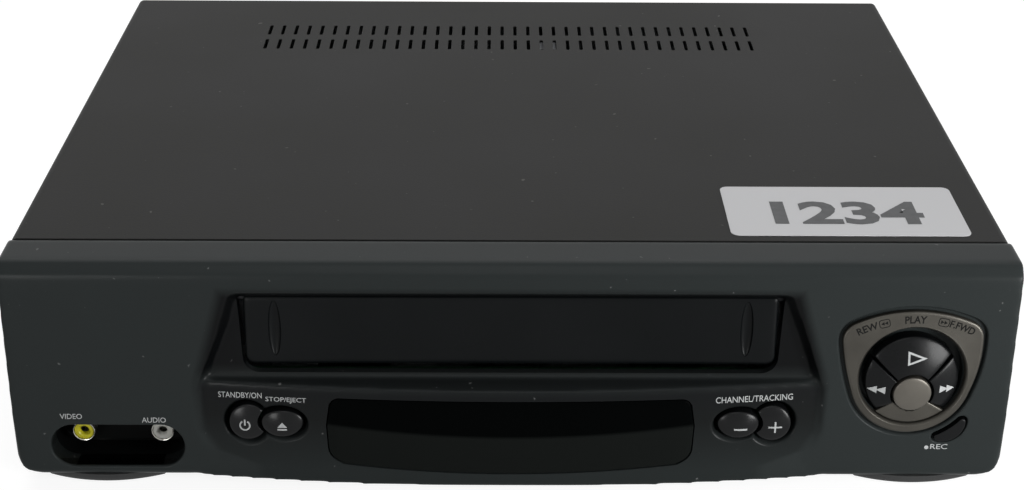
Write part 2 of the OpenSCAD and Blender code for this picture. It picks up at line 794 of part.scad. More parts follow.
// Upright finger groove with a lens outline
module groove_lens() translate([0, 4.4, 0]) rotate([-90, 0, 0]) linear_extrude(1) intersection() {
    translate([-16, 0]) circle(18, $fn = 90);
    translate([16, 0]) circle(18, $fn = 90);
}

module flap_spring() color(steel)
    translate([mouth_w / 2 + 5, flap_pin_y + 4.2, flap_pin_z]) rotate([0, 90, 0])
        linear_extrude(4, twist = 360 * 3, slices = 36, $fn = 6) translate([2, 0]) circle(0.4, $fn = 6);

// Sockets and boards at the front

jack_board_z = av_z - 8.5;
jack_z = av_z - 0.3;

module jack(tone) {
    y0 = av_floor_y - jack_l;
    color(steel) difference() {
        translate([0, y0, jack_z]) rotate([-90, 0, 0]) {
            cylinder(r = jack_r, h = jack_l);
            cylinder(r = jack_r - 0.2, h = jack_l + pocket_wall + seat_gap);
        }
        translate([0, y0 - 1, jack_z]) rotate([-90, 0, 0]) cylinder(r = jack_r - 0.5, h = jack_l + 1);
    }
    color(tone) difference() {
        union() {
            translate([0, y0 + 0.4, jack_z]) rotate([-90, 0, 0])
                cylinder(r = jack_r - 0.5, h = jack_l - 0.4);
            translate([-5.5, av_floor_y + pocket_wall + seat_gap, jack_board_z + board_t])
                cube([11, 11, 14]);
        }
        translate([0, y0 - 1, jack_z]) rotate([-90, 0, 0]) cylinder(r = jack_bore_r, h = jack_l);
    }
}

module video_jack() translate([-av_x - jack_step / 2, 0, 0]) jack("#c9c41a");

module audio_jack() translate([-av_x + jack_step / 2, 0, 0]) jack(white_plastic);

module front_boards() color(board_green) {
    translate([-av_x - 23, av_floor_y + pocket_wall + 1, jack_board_z]) cube([46, 13, board_t]);
    translate([0, board_y, z_base + wall + 1]) {
        translate([-108, 0, 0]) cube([panel_half_w - wall - 2 + 108, board_t, 33]);
        translate([ring_x - 25, 0, 0]) cube([panel_half_w - wall - 2 - ring_x + 25, board_t, 58]);
    }
}

tact = [[-round_key_x - 2, chin_key_z], [-oval_key_x, chin_key_z], [oval_key_x, chin_key_z],
    [round_key_x + 2, chin_key_z], [ring_x, ring_z + 9], [ring_x - 12, ring_z - 2],
    [ring_x + 12, ring_z - 2], [ring_x, ring_z - hub_key_drop], [ring_x + 15.5, ring_z - 20]];

module key_switches() color(steel) for (p = tact) translate([p[0], board_y, p[1]]) {
    translate([-3, -3.5, -3]) cube([6, 3.5, 6]);
    rotate([90, 0, 0]) cylinder(r = 1.7, h = switch_h);
}

module display_module() color("#1d2b2b") {
    translate([-42, board_y - 6, 15]) cube([84, 4.5, 20]);
    for (s = [-1, 1]) translate([s * 38 - 2, board_y - 1.5, 17]) cube([4, 1.5, 16]);
}

// Electronics

board_y0 = y_seam + 8;
board_y1 = rear_y - 3;

module main_board() color(board_green) difference() {
    translate([-board_half_w, board_y0, z_board])
        cube([2 * board_half_w, board_y1 - board_y0, board_t]);
    for (s = [-1, 1], y = deck_post_y) translate([s * deck_post_x, y, z_board - 1])
        cylinder(r = 5, h = board_t + 2);
}

z_parts = z_board + board_t;

module board_components() {
    color("#20242a") for (p = [[-40, 60], [40, 95], [130, 40], [-75, 112]])
        translate([p[0] - 12, p[1] - 6, z_parts]) cube([24, 12, 3]);
    color("#24303a") for (p = [[10, 20], [10, 40], [42, 20]])
        translate([p[0] - board_half_w, p[1], z_parts]) cylinder(r = 6, h = 32);
    color("#24303a") for (p = [[20, 90], [6, 90], [20, 70]])
        translate([board_half_w - p[0], p[1], z_parts]) cylinder(r = 6, h = 14);
    color(white_plastic) for (p = [[120, -60], [120, -20], [-120, -60]])
        translate([p[0], p[1], z_parts]) cube([8, 26, 9]);
}

module power_transformer() color("#3d3a33") translate([24 - board_half_w, 66, z_parts]) {
    translate([-18, -15, 0]) cube([36, 30, 8]);
    translate([-13, -15, 8]) cube([26, 30, 20]);
    translate([-18, -9, 8]) cube([36, 18, 22]);
}

module power_heatsink() color(steel) translate([52 - board_half_w, deck_y1 + 0.3, z_parts]) {
    cube([3, 40, 38]);
    for (i = [0:5]) translate([-9, i * 7.6, 4]) cube([9.5, 1.6, 34]);
}

tuner_w = 20;
tuner_y0 = y_seam + 214;

module tuner_module() color(steel) difference() {
    translate([aerial_x - tuner_w / 2, tuner_y0, z_parts])
        cube([tuner_w, rear_y - 1 - tuner_y0, z_top - 8 - z_parts]);
    for (i = [0:3]) translate([aerial_x + tuner_w / 2 - 0.6, tuner_y0 + 5, z_parts + 8 + i * 12])
        cube([2, 12, 6]);
}

module aerial_sockets() color(steel) for (i = [0, 1]) translate([aerial_x, rear_y - 1, aerial_z[i]])
    rotate([-90, 0, 0]) {
        len = y_back + aerial_reach - rear_y + 1;
        difference() {
            cylinder(r = i == 0 ? aerial_r : 4.75, h = len);
            translate([0, 0, len - 8]) cylinder(r = i == 0 ? aerial_bore_r : 4.1, h = 9);
        }
        if (i == 0) difference() {
            cylinder(r = 2.2, h = len - 1);
            translate([0, 0, len - 8]) cylinder(r = 1.25, h = 9);
        }
        if (i == 1) cylinder(r = 1.2, h = len);
        if (i == 1) cylinder(r = aerial_r, h = 2.4);
    }

module scart_sockets() color(black_plastic) for (x = scart_x) difference() {
    union() {
        translate([x - scart_w / 2, rear_y - 12, scart_z]) cube([scart_w, 16, scart_h]);
        translate([x - scart_w / 2 + 2, rear_y - 12, z_parts]) cube([scart_w - 4, 10, 4]);
    }
    translate([x, 0, scart_z + scart_h / 2]) along_y(rear_y - 8, rear_y + 6)
        polygon([[-21.5, -4], [-18, -5.5], [21.5, -5.5], [21.5, 5.5], [-21.5, 5.5]]);
}

module mains_gland() color(rubber_black) translate([gland_x, rear_y, gland_z]) rotate([-90, 0, 0])
    difference() {
        union() {
            translate([0, 0, -5]) cylinder(r = gland_r, h = 10);
            translate([0, 0, sheet + seat_gap]) cylinder(r = gland_r + 2, h = 2.5);
            translate([0, 0, -2.6]) cylinder(r = gland_r + 1.5, h = 2.4);
        }
        translate([0, 0, -6]) cylinder(r = cord_bore_r, h = 12);
    }

deck_y0 = y_seam + 5;
deck_y1 = y_seam + 205;

module deck_stay() color(steel) translate([14, 0, 0]) {
    translate([0, deck_y1 - 9, z_deck_top]) cube([8, 9, 1]);
    translate([0, deck_y1 - 1, z_deck_top]) cube([8, 1, z_top - 6 - z_deck_top]);
    translate([0, deck_y1 - 1, z_top - 7]) cube([8, rear_y - deck_y1 + 1, 1]);
}

// Tape deck

drum_y = y_seam + 161;
reel_y = y_seam + 61;
clutch_y = reel_y - 34;
capstan_xy = [66, y_seam + 115];
pinch_xy = [88, y_seam + 133];
tension_xy = [-70, y_seam + 93];
cam_xy = [66, y_seam + 179];
cam_r = gear_m * cam_teeth / 2;
motor_pinion_r = gear_m * motor_teeth / 2;
cam_dir = 25;
motor_xy = cam_xy + (cam_r + motor_pinion_r) * [cos(cam_dir), sin(cam_dir)];
guide_from = [26, y_seam + 111];
guide_to = [40, y_seam + 157];
guide_dir = atan2(guide_to[1] - guide_from[1], guide_to[0] - guide_from[0]);
guide_len = norm(guide_to - guide_from);
slot_w = 4.2;
pivot_r = 2;

module deck_plate() color(steel) {
    difference() {
        translate([-deck_w / 2, deck_y0, z_deck]) cube([deck_w, deck_y1 - deck_y0, deck_t]);
        translate([0, clutch_y, z_deck - 1]) cylinder(r = 2.5 + run_gap, h = deck_t + 2);
        translate([capstan_xy[0], capstan_xy[1], z_deck - 1])
            cylinder(r = capstan_r + run_gap, h = deck_t + 2);
        for (s = [-1, 1]) translate([s * guide_from[0], guide_from[1], z_deck - 1])
            rotate(s > 0 ? guide_dir : 180 - guide_dir) linear_extrude(deck_t + 2) {
                translate([0, -slot_w / 2]) square([guide_len, slot_w]);
                circle(slot_w / 2);
                translate([guide_len, 0]) circle(slot_w / 2);
            }
        for (s = [-1, 1]) translate([s * 60 - 14, deck_y0 + 12, z_deck - 1]) cube([28, 14, deck_t + 2]);
    }
    // Posts and bearings riveted into the plate
    for (s = [-1, 1]) translate([s * reel_step / 2, reel_y, z_deck_top - 0.2])
        cylinder(r = pivot_r, h = 6.2);
    translate([tension_xy[0], tension_xy[1], z_deck_top - 0.2]) cylinder(r = pivot_r, h = 8.2);
    translate([pinch_xy[0], pinch_xy[1], z_deck_top - 0.2]) cylinder(r = pivot_r, h = 18.2);
    translate([cam_xy[0], cam_xy[1], z_deck_top - 0.2]) cylinder(r = pivot_r + 1, h = 13.2);
    translate([cam_xy[0], cam_xy[1], z_deck_top - 0.2]) cylinder(r = pivot_r + 3, h = 7.7);
    translate([capstan_xy[0], capstan_xy[1], z_deck_top - 0.2]) difference() {
        cylinder(r = 4, h = 4.2);
        translate([0, 0, -1]) cylinder(r = capstan_r + run_gap, h = 8);
    }
}

bracket_x = deck_w / 2 + 1.4;
bracket_t = 1.2;
carriage_pin_r = 1.5;
carriage_pin_z = z_mouth_top - 0.7;
carriage_pin_y = [y_seam + 8, y_seam + 50];
bracket_y1 = y_seam + 122;
pinion_r = rack_m * carriage_teeth / 2;
pinion_y = y_seam + 93;
rack_pitch_z = carriage_pin_z - 5;
pinion_z = rack_pitch_z - pinion_r;

module side_bracket(s) difference() {
    union() {
        translate([s * (bracket_x + bracket_t / 2) - bracket_t / 2, deck_y0, z_deck_top])
            cube([bracket_t, bracket_y1 - deck_y0, carriage_pin_z + 5 - z_deck_top]);
        translate([s * (deck_w / 2 - 3.4) - 5, deck_y0 + 4, z_deck_top])
            cube([10, 12, bracket_t]);
        translate([s * (deck_w / 2 - 3.4) - 5, bracket_y1 - 16, z_deck_top])
            cube([10, 12, bracket_t]);
        if (s > 0) translate([bracket_x + bracket_t - 0.2, pinion_y, pinion_z]) rotate([0, 90, 0])
            cylinder(r = pivot_r, h = 7);
    }
    translate([s * (bracket_x + bracket_t / 2) - 3, 0, 0]) {
        translate([0, carriage_pin_y[0] - 2, carriage_pin_z - carriage_pin_r - 0.1])
            cube([6, carriage_pin_y[1] + load_in + 4 - carriage_pin_y[0], 2 * carriage_pin_r + 0.2]);
        translate([0, deck_y0 + 20, z_deck_top + 12]) cube([6, 60, 18]);
    }
}

module left_bracket() color(steel) side_bracket(-1);

module right_bracket() color(steel) side_bracket(1);

module drum_frame() translate([0, drum_y, z_deck_top + 1]) rotate([drum_tilt, 0, 0]) children();

module lower_drum() color("#c9cacc") difference() {
    union() {
        translate([0, drum_y, z_deck_top]) cylinder(r = 20, h = 4);
        drum_frame() translate([0, 0, 3]) cylinder(r = drum_r, h = 14);
    }
    drum_frame() translate([0, 0, -10]) cylinder(r = 3 + run_gap, h = 40);
    drum_frame() translate([0, 0, 14]) difference() {
        cylinder(r = drum_r + 1, h = 0.6);
        cylinder(r = drum_r - 0.4, h = 0.6);
    }
}

module upper_drum() color("#d4d5d7") drum_frame() {
    difference() {
        translate([0, 0, 17.3]) cylinder(r = drum_r, h = 14);
        translate([0, 0, 29]) difference() {
            cylinder(r = drum_r - 3, h = 6);
            cylinder(r = 13, h = 6);
        }
    }
    translate([0, 0, 3]) cylinder(r = 3, h = 15);
    translate([0, 0, 31]) cylinder(r = 18, h = 5);
    for (i = [0:5]) rotate(i * 60) translate([15, 0, 35.8]) cylinder(r = 1.4, h = 1);
}

module capstan() color(steel) translate([capstan_xy[0], capstan_xy[1], 0]) {
    translate([0, 0, z_parts + 2]) cylinder(r = capstan_r, h = z_load + 13 - z_parts - 2);
    difference() {
        translate([0, 0, z_parts + 1]) cylinder(r = flywheel_r, h = 4);
        translate([0, 0, z_parts + 2.5]) difference() {
            cylinder(r = flywheel_r - 3, h = 4);
            cylinder(r = 8, h = 4);
        }
    }
    translate([0, 0, z_parts + 2]) cylinder(r = capstan_pulley_r, h = z_deck - 0.5 - z_parts - 2);
}

module reel_table(x) translate([x, reel_y, z_deck_top + 0.3]) difference() {
    union() {
        cylinder(r = reel_r, h = 2.6);
        cylinder(r = 15, h = 4.6);
        cylinder(r = 6.5, h = z_load + 11 - z_deck_top);
        translate([0, 0, z_load + 10.9 - z_deck_top]) cylinder(r1 = 6.5, r2 = 3.5, h = 1.5);
        for (a = [0, 120, 240]) rotate(a) translate([4, -1, 4]) cube([5, 2, z_load + 5 - z_deck_top]);
    }
    translate([0, 0, -1]) cylinder(r = pivot_r + run_gap, h = 7.2);
}

module supply_reel() color(white_plastic) reel_table(-reel_step / 2);

module takeup_reel() color(white_plastic) reel_table(reel_step / 2);

module clutch_pulley() color(black_plastic) translate([0, clutch_y, 0]) {
    translate([0, 0, belt_z - 1.2]) difference() {
        cylinder(r = clutch_pulley_r + 2, h = z_deck - 0.4 - belt_z + 1.2);
        translate([0, 0, 1]) difference() {
            cylinder(r = clutch_pulley_r + 3, h = belt_h + 0.4);
            cylinder(r = clutch_pulley_r, h = belt_h + 0.4);
        }
    }
    cylinder_from(2.5, z_deck - 1, z_deck_top + 5);
    cylinder_from(15.9, z_deck_top + 1.5, z_deck_top + 4);
}

belt_z = z_deck - 4;
belt_h = 1.8;
belt_t = 1.2;
clutch_pulley_r = 13;
capstan_pulley_r = 7;

module belt_hull(grow) hull() {
    translate(capstan_xy) circle(capstan_pulley_r + grow);
    translate([0, clutch_y]) circle(clutch_pulley_r + grow);
}

module reel_belt() color(rubber_black) translate([0, 0, belt_z]) linear_extrude(belt_h) difference() {
    belt_hull(belt_t);
    belt_hull(run_gap);
}

module cylinder_from(r, z0, z1) translate([0, 0, z0]) cylinder(r = r, h = z1 - z0);

module idler_arm() color(steel) difference() {
    union() {
        translate([0, clutch_y, z_deck_top + 0.25]) cylinder(r = 5, h = 0.9);
        translate([-3, clutch_y, z_deck_top + 0.25]) cube([6, reel_y - clutch_y, 0.9]);
        translate([0, reel_y, z_deck_top + 0.25]) cylinder(r = 4, h = 0.9);
        translate([0, reel_y, z_deck_top + 0.25]) cylinder(r = 1.5, h = 4.5);
    }
    translate([0, clutch_y, z_deck_top - 1]) cylinder(r = 2.5 + run_gap, h = 4);
}

module idler_wheel() color(rubber_black) translate([0, reel_y, z_deck_top + 1.5]) difference() {
    cylinder(r = 17.7, h = 2.2);
    translate([0, 0, -1]) cylinder(r = 1.5 + run_gap, h = 5);
    translate([0, 0, 1.4]) difference() {
        cylinder(r = 14, h = 2);
        cylinder(r = 4, h = 2);
    }
}

pinch_rest = [pinch_xy[0] - 18.7, pinch_xy[1] + 0.3];

module pinch_arm() color(steel) {
    z0 = z_deck_top + 3;
    difference() {
        union() {
            translate([pinch_xy[0], pinch_xy[1], z0]) cylinder(r = 4.5, h = 12);
            translate([pinch_rest[0], pinch_xy[1] - 2.5, z0]) cube([18.7, 6, 1.4]);
            translate([pinch_rest[0], pinch_rest[1], z0]) cylinder(r = 4, h = 1.4);
            translate([pinch_rest[0], pinch_rest[1], z0]) cylinder(r = 1.2, h = 15);
        }
        translate([pinch_xy[0], pinch_xy[1], z0 - 1]) cylinder(r = pivot_r + run_gap, h = 20);
    }
}

module pinch_roller() color(rubber_black)
    translate([pinch_rest[0], pinch_rest[1], z_deck_top + 4.8]) difference() {
        cylinder(r = pinch_r, h = 12.6);
        translate([0, 0, -1]) cylinder(r = 1.2 + run_gap, h = 15);
        translate([0, 0, 12]) cylinder(r = pinch_r - 2.5, h = 2);
    }

module tension_arm() color(steel) translate([tension_xy[0], tension_xy[1], z_deck_top + 0.3]) {
    difference() {
        union() {
            cylinder(r = 4.5, h = 6);
            rotate(75) translate([0, -2.5, 0]) cube([25, 5, 1.4]);
            rotate(75) translate([25, 0, 0]) cylinder(r = 2.5, h = 1.4);
        }
        translate([0, 0, -1]) cylinder(r = pivot_r + run_gap, h = 8);
    }
    rotate(75) translate([25, 0, 1]) cylinder(r = 1.8, h = z_load + 12 - z_deck_top);
}

module tape_head(x, y, a, w, tone) translate([x, y, z_deck_top]) rotate(a) {
    color(steel) translate([-6, -5, 0]) cube([12, 10, 1.2]);
    color(steel) translate([-2, 1, 1.2]) cube([4, 3, z_load + 14 - z_deck_top - 1.2]);
    color(tone) difference() {
        translate([-w / 2, -5, z_load + 1 - z_deck_top]) cube([w, 7, 14]);
        translate([-0.4, -6, z_load + 3 - z_deck_top]) cube([0.8, 1.6, 10]);
    }
}

module erase_head() tape_head(-57, y_seam + 130, -35, 11, "#6f7174");

module audio_head() tape_head(53, y_seam + 138, 40, 9, "#8d8f92");

module guide(s) translate([s * guide_from[0], guide_from[1], 0]) {
    translate([0, 0, z_deck_top + 0.2]) rotate(s > 0 ? guide_dir : 180 - guide_dir) {
        translate([-6, -5, 0]) cube([12, 10, 2.6]);
        translate([0, 0, -deck_t - 1.4]) cylinder(r = 1.9, h = deck_t + 2);
        translate([0, 0, -deck_t - 1.6]) cylinder(r = 3.4, h = 1.2);
    }
    translate([0, 0, z_deck_top + 2]) cylinder(r = 1.3, h = z_load + 13 - z_deck_top - 2);
    translate([0, 0, z_load - 2]) cylinder(r = 3, h = 1);
    translate([0, 0, z_load - 1]) cylinder(r = 2.6, h = 13);
    translate([0, 0, z_load + 12]) cylinder(r = 3, h = 1.4);
}

module supply_guide() color(brass_tone) guide(-1);

module takeup_guide() color(brass_tone) guide(1);

// Cassette carriage: the frame runs back on the brackets, the holder sinks in the frame

frame_t = 1.2;
frame_x = bracket_x - 1.6 - frame_t;
frame_y0 = y_seam + 3;
frame_y1 = y_seam + 62;
z_cass = z_mouth + 1.5;
load_drop = z_cass - z_load;
holder_x = cass_w / 2 + 2;
holder_t = 1;
holder_pin_r = 1.4;
holder_pin_z = z_cass + 15;
holder_pin_y = [y_seam + 14, y_seam + 50];
frame_rim = 1.3;
frame_z = holder_pin_z - load_drop - holder_pin_r - 0.2 - frame_rim;

tooth_half = PI / 4 * 0.86;

module tooth_row(m, n) for (i = [0:n - 1]) translate([0, i * PI * m]) polygon([
    [0.2, -tooth_half * m - tan(20) * 1.2 * m], [-1.2 * m, -tooth_half * m],
    [-2.1 * m, -tooth_half * m + tan(20) * 0.9 * m], [-2.1 * m, tooth_half * m - tan(20) * 0.9 * m],
    [-1.2 * m, tooth_half * m], [0.2, tooth_half * m + tan(20) * 1.2 * m]]);

rack_x = bracket_x + bracket_t + 1.2;
rack_n = 28;

module carriage_frame() color(steel) {
    difference() {
        union() {
            for (s = [-1, 1]) translate([s * (frame_x + frame_t / 2) - frame_t / 2, frame_y0, frame_z])
                cube([frame_t, frame_y1 - frame_y0, z_top - 10 - frame_z]);
            translate([-frame_x - frame_t, frame_y1 - 10, z_top - 11])
                cube([2 * frame_x + 2 * frame_t, 8, 1.2]);
        }
        for (s = [-1, 1], y = holder_pin_y)
            translate([s * (frame_x + frame_t / 2) - 2, y - holder_pin_r - 0.1, frame_z + frame_rim])
                cube([4, 2 * holder_pin_r + 0.2, load_drop + 2 * holder_pin_r + 0.4]);
    }
    for (s = [-1, 1], y = carriage_pin_y) translate([s * (frame_x + 0.5), y, carriage_pin_z])
        rotate([0, s * 90, 0]) cylinder(r = carriage_pin_r, h = s > 0 ? rack_x - frame_x : 5.4);
    // Rack outside the right bracket
    translate([rack_x, 0, rack_pitch_z]) {
        translate([0, pinion_y - (rack_n - 0.5) * PI * rack_m, 1.2 * rack_m])
            cube([3.4, rack_n * PI * rack_m, 6.4]);
        translate([0, pinion_y - (rack_n - 1) * PI * rack_m + PI * rack_m / 2, 1.2 * rack_m])
            rotate([0, 90, 0]) mirror([1, 0, 0]) linear_extrude(3.4)
                tooth_row(rack_m, rack_n - 1);
    }
}

module cassette_holder() color("#9a9da0") {
    difference() {
        union() {
            for (s = [-1, 1]) {
                translate([s * (holder_x + holder_t / 2) - holder_t / 2, frame_y0 + 1, z_cass - holder_t])
                    cube([holder_t, frame_y1 - 6 - frame_y0, cass_h + 2 * holder_t + 0.4]);
                translate([s * (holder_x - 7) - 7.5, frame_y0 + 1, z_cass - holder_t])
                    cube([15, frame_y1 - 6 - frame_y0, holder_t]);
                translate([s * (cass_w / 2 - 12) - 8, frame_y1 - 6, z_cass + 15])
                    cube([16, holder_t, cass_h - 15 + holder_t]);
            }
            translate([-holder_x - holder_t, frame_y0 + 16, z_cass + cass_h + 0.4])
                cube([2 * holder_x + 2 * holder_t, frame_y1 - 5 - frame_y0 - 16, holder_t]);
        }
        for (s = [-1, 1]) translate([s * 40 - 22, frame_y0 + 28, z_cass + cass_h - 1]) cube([44, 16, 4]);
    }
    for (s = [-1, 1], y = holder_pin_y) translate([s * (holder_x + holder_t / 2), y, holder_pin_z])
        rotate([0, s * 90, 0]) cylinder(r = holder_pin_r, h = frame_x + frame_t - holder_x);
}

// Gears

// Half the angle of a tooth at radius r
function inv(a) = tan(a) * 180 / PI - a;
function half_tooth(n, m, r) =
    let (rb = m * n / 2 * cos(20)) 90 / n * 0.84 + inv(20) - (r > rb ? inv(acos(rb / r)) : 0);
function on_circle(r, a) = r * [cos(a), sin(a)];

module gear_2d(n, m) {
    rp = m * n / 2;
    rr = rp - 1.2 * m;
    rt = rp + 0.9 * m;
    polygon([for (i = [0:n - 1], k = [0:5])
        let (r = [rr, rp, rt, rt, rp, rr][k], s = [-1, -1, -1, 1, 1, 1][k])
        on_circle(r, i * 360 / n + s * half_tooth(n, m, r))]);
}

module carriage_pinion() color(white_plastic) translate([rack_x, pinion_y, pinion_z])
    rotate([0, 90, 0]) difference() {
        linear_extrude(3.4) rotate(180) gear_2d(carriage_teeth, rack_m);
        translate([0, 0, -1]) cylinder(r = pivot_r + run_gap, h = 6);
    }

module cam_gear() color(white_plastic) translate([cam_xy[0], cam_xy[1], z_deck_top + 7.8]) difference() {
    union() {
        linear_extrude(3.6) rotate(cam_dir) gear_2d(cam_teeth, gear_m);
        cylinder(r = 6, h = 5);
    }
    translate([0, 0, -1]) cylinder(r = pivot_r + 1 + run_gap, h = 9);
    for (a = [0, 180]) rotate(a) translate([11, 0, 2.4]) cylinder(r = 3, h = 3);
}

module motor_pinion() color(brass_tone)
    translate([motor_xy[0], motor_xy[1], z_deck_top + 7.8]) {
        linear_extrude(3.6) rotate(cam_dir + 180 + 180 / motor_teeth) gear_2d(motor_teeth, gear_m);
        cylinder(r = 1, h = 8);
    }

module loading_motor() color(steel) translate([motor_xy[0], motor_xy[1], 0]) {
    difference() {
        cylinder_from(10, z_deck_top + 13, z_deck_top + 34);
        cylinder_from(1 + run_gap, z_deck_top + 12, z_deck_top + 18);
    }
    cylinder_from(5, z_deck_top + 33.9, z_deck_top + 36);
    difference() {
        translate([-10, -11, z_deck_top + 12]) cube([20, 26, 1]);
        cylinder_from(3, z_deck_top + 11, z_deck_top + 14);
    }
    translate([-10, 14, z_deck_top]) cube([20, 1, 13]);
}

top_cover();
front_panel();
bottom_chassis();
rear_panel();
cover_screws();
front_feet();
rear_feet();
display_window();
transport_trim();
stock_label();
cassette_flap();
flap_spring();
power_key();
eject_key();
channel_down_key();
channel_up_key();
play_key();
rewind_key();
fast_forward_key();
centre_key();
record_key();
video_jack();
audio_jack();
front_boards();
key_switches();
display_module();
main_board();
board_components();
power_transformer();
power_heatsink();
tuner_module();
aerial_sockets();
scart_sockets();
mains_gland();
deck_stay();
deck_plate();
left_bracket();
right_bracket();
lower_drum();
upper_drum();
capstan();
supply_reel();
takeup_reel();
clutch_pulley();
reel_belt();
idler_arm();
idler_wheel();
pinch_arm();
pinch_roller();
tension_arm();
erase_head();
audio_head();
supply_guide();
takeup_guide();
carriage_frame();
cassette_holder();
carriage_pinion();
cam_gear();
loading_motor();
motor_pinion();
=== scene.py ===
import math

import bpy
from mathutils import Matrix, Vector


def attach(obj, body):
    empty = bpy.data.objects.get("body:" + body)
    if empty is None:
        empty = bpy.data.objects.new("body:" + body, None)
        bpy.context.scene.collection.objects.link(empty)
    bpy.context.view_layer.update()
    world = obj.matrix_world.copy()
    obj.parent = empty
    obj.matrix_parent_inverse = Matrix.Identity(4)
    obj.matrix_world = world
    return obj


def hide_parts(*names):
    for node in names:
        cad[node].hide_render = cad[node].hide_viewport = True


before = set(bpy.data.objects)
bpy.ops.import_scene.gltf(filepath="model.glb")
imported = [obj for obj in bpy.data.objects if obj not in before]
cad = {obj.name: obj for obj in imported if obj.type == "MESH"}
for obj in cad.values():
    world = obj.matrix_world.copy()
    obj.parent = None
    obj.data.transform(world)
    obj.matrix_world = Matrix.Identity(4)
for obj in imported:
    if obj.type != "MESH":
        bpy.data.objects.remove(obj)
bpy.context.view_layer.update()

# Camera
# The camera stands in front of the recorder and well above it, a little left of its middle.
# It looks down on the face and the cover together, and is turned and rolled by a fraction of a degree.
LOOK_DOWN, LOOK_ASIDE, ROLL = 0.482, 0.010, 0.008
scene = bpy.context.scene
camera_data = bpy.data.cameras.new("camera")
camera_data.lens = 61.07
camera_data.clip_start = 0.01
camera = bpy.data.objects.new("camera", camera_data)
scene.collection.objects.link(camera)
camera.location = (-0.00524, -0.6668, 0.3767)
camera.rotation_euler = (math.pi / 2 - LOOK_DOWN, 0, -LOOK_ASIDE)
camera.rotation_euler.rotate_axis("Z", ROLL)
scene.camera = camera
scene.view_settings.view_transform = "Standard"

# Studio
# A pale floor, a soft lamp low at each side, one above the camera, and a wide one overhead.
# The floor and the world read as white to the eye and in reflections, and add only a little light.
FLOOR_GLOW = 0.85
SKY_LIGHT, SKY_SEEN = 0.12, 1.0
WHITE = (1, 1, 1, 1)


def add_node(tree, kind, sockets=None, stops=(), **options):
    """Adds a node with its options and a ramp's stops. A socket is set to a value, or linked to an output."""
    made = tree.nodes.new(kind)
    for key, value in options.items():
        setattr(made, key, value)
    for i, (place, colour) in enumerate(stops):
        stop = made.color_ramp.elements[i] if i < 2 else made.color_ramp.elements.new(place)
        stop.position = place
        stop.color = colour
    for key, value in (sockets or {}).items():
        if isinstance(value, bpy.types.NodeSocket):
            tree.links.new(value, made.inputs[key])
        else:
            made.inputs[key].default_value = value
    return made


def seen_straight(tree):
    """One for a ray from the eye, a reflection or through glass, and nothing for the light on the object."""
    ray = add_node(tree, "ShaderNodeLightPath")
    seen = ray.outputs["Is Camera Ray"]
    for other in ("Is Glossy Ray", "Is Transmission Ray"):
        seen = add_node(tree, "ShaderNodeMath", {0: seen, 1: ray.outputs[other]}, operation="MAXIMUM").outputs[0]
    return seen


def deselect():
    bpy.ops.object.select_all(action="DESELECT")


deselect()
bpy.ops.mesh.primitive_plane_add(size=9)
floor = bpy.context.object
floor.name = "floor"
paper = bpy.data.materials.new("white_paper")
paper.use_nodes = True
tree = paper.node_tree
tree.nodes.clear()
lift = add_node(tree, "ShaderNodeMath", {0: seen_straight(tree), 1: FLOOR_GLOW}, operation="MULTIPLY")
glow = add_node(tree, "ShaderNodeEmission", {"Strength": lift.outputs[0], "Color": WHITE})
matt = add_node(tree, "ShaderNodeBsdfDiffuse", {"Color": (0.3, 0.3, 0.3, 1)})
both = add_node(tree, "ShaderNodeAddShader", {0: matt.outputs[0], 1: glow.outputs[0]})
add_node(tree, "ShaderNodeOutputMaterial", {"Surface": both.outputs[0]})
floor.data.materials.append(paper)

world = bpy.data.worlds.new("studio")
scene.world = world
world.use_nodes = True
tree = world.node_tree
tree.nodes.clear()
level = add_node(tree, "ShaderNodeMapRange", {"Value": seen_straight(tree), "To Min": SKY_LIGHT, "To Max": SKY_SEEN})
sky = add_node(tree, "ShaderNodeBackground", {"Strength": level.outputs[0], "Color": WHITE})
add_node(tree, "ShaderNodeOutputWorld", {"Surface": sky.outputs[0]})

# Each lamp: its place, what it points at, its width and height, and its power in watts
for name, place, aim, width, height, power in (
    ("left_lamp", (-0.36, -0.68, 0.13), (-0.1, -0.14, 0.05), 0.16, 0.2, 1.0),
    ("right_lamp", (0.5, -0.52, 0.15), (0.12, -0.14, 0.05), 0.22, 0.24, 4.0),
    ("top_lamp", (-0.15, 0.6, 1.3), (0, 0, 0.05), 1.6, 1.2, 11),
    ("front_lamp", (0, -0.85, 1.0), (0, -0.1, 0.05), 0.5, 0.3, 1.0),
):
    data = bpy.data.lights.new(name, "AREA")
    data.shape = "RECTANGLE"
    data.size = width
    data.size_y = height
    data.energy = power
    lamp = bpy.data.objects.new(name, data)
    scene.collection.objects.link(lamp)
    lamp.location = place
    lamp.rotation_euler = (Vector(aim) - Vector(place)).to_track_quat("-Z", "Y").to_euler()
    lamp.visible_camera = False

# Casing: base tray and mains gland
# A tray of black polystyrene under everything, and a soft rubber gland in the rear panel for the mains cord.
# Both are plain mouldings, so the eye sees only a dull grain. The feet are of the same rubber.
MM = 0.001


def paint(code):
    """Turns an sRGB hex value to linear colour."""
    parts = [int(code[i : i + 2], 16) / 255 for i in (1, 3, 5)]
    return [p / 12.92 if p < 0.04045 else ((p + 0.055) / 1.055) ** 2.4 for p in parts] + [1]


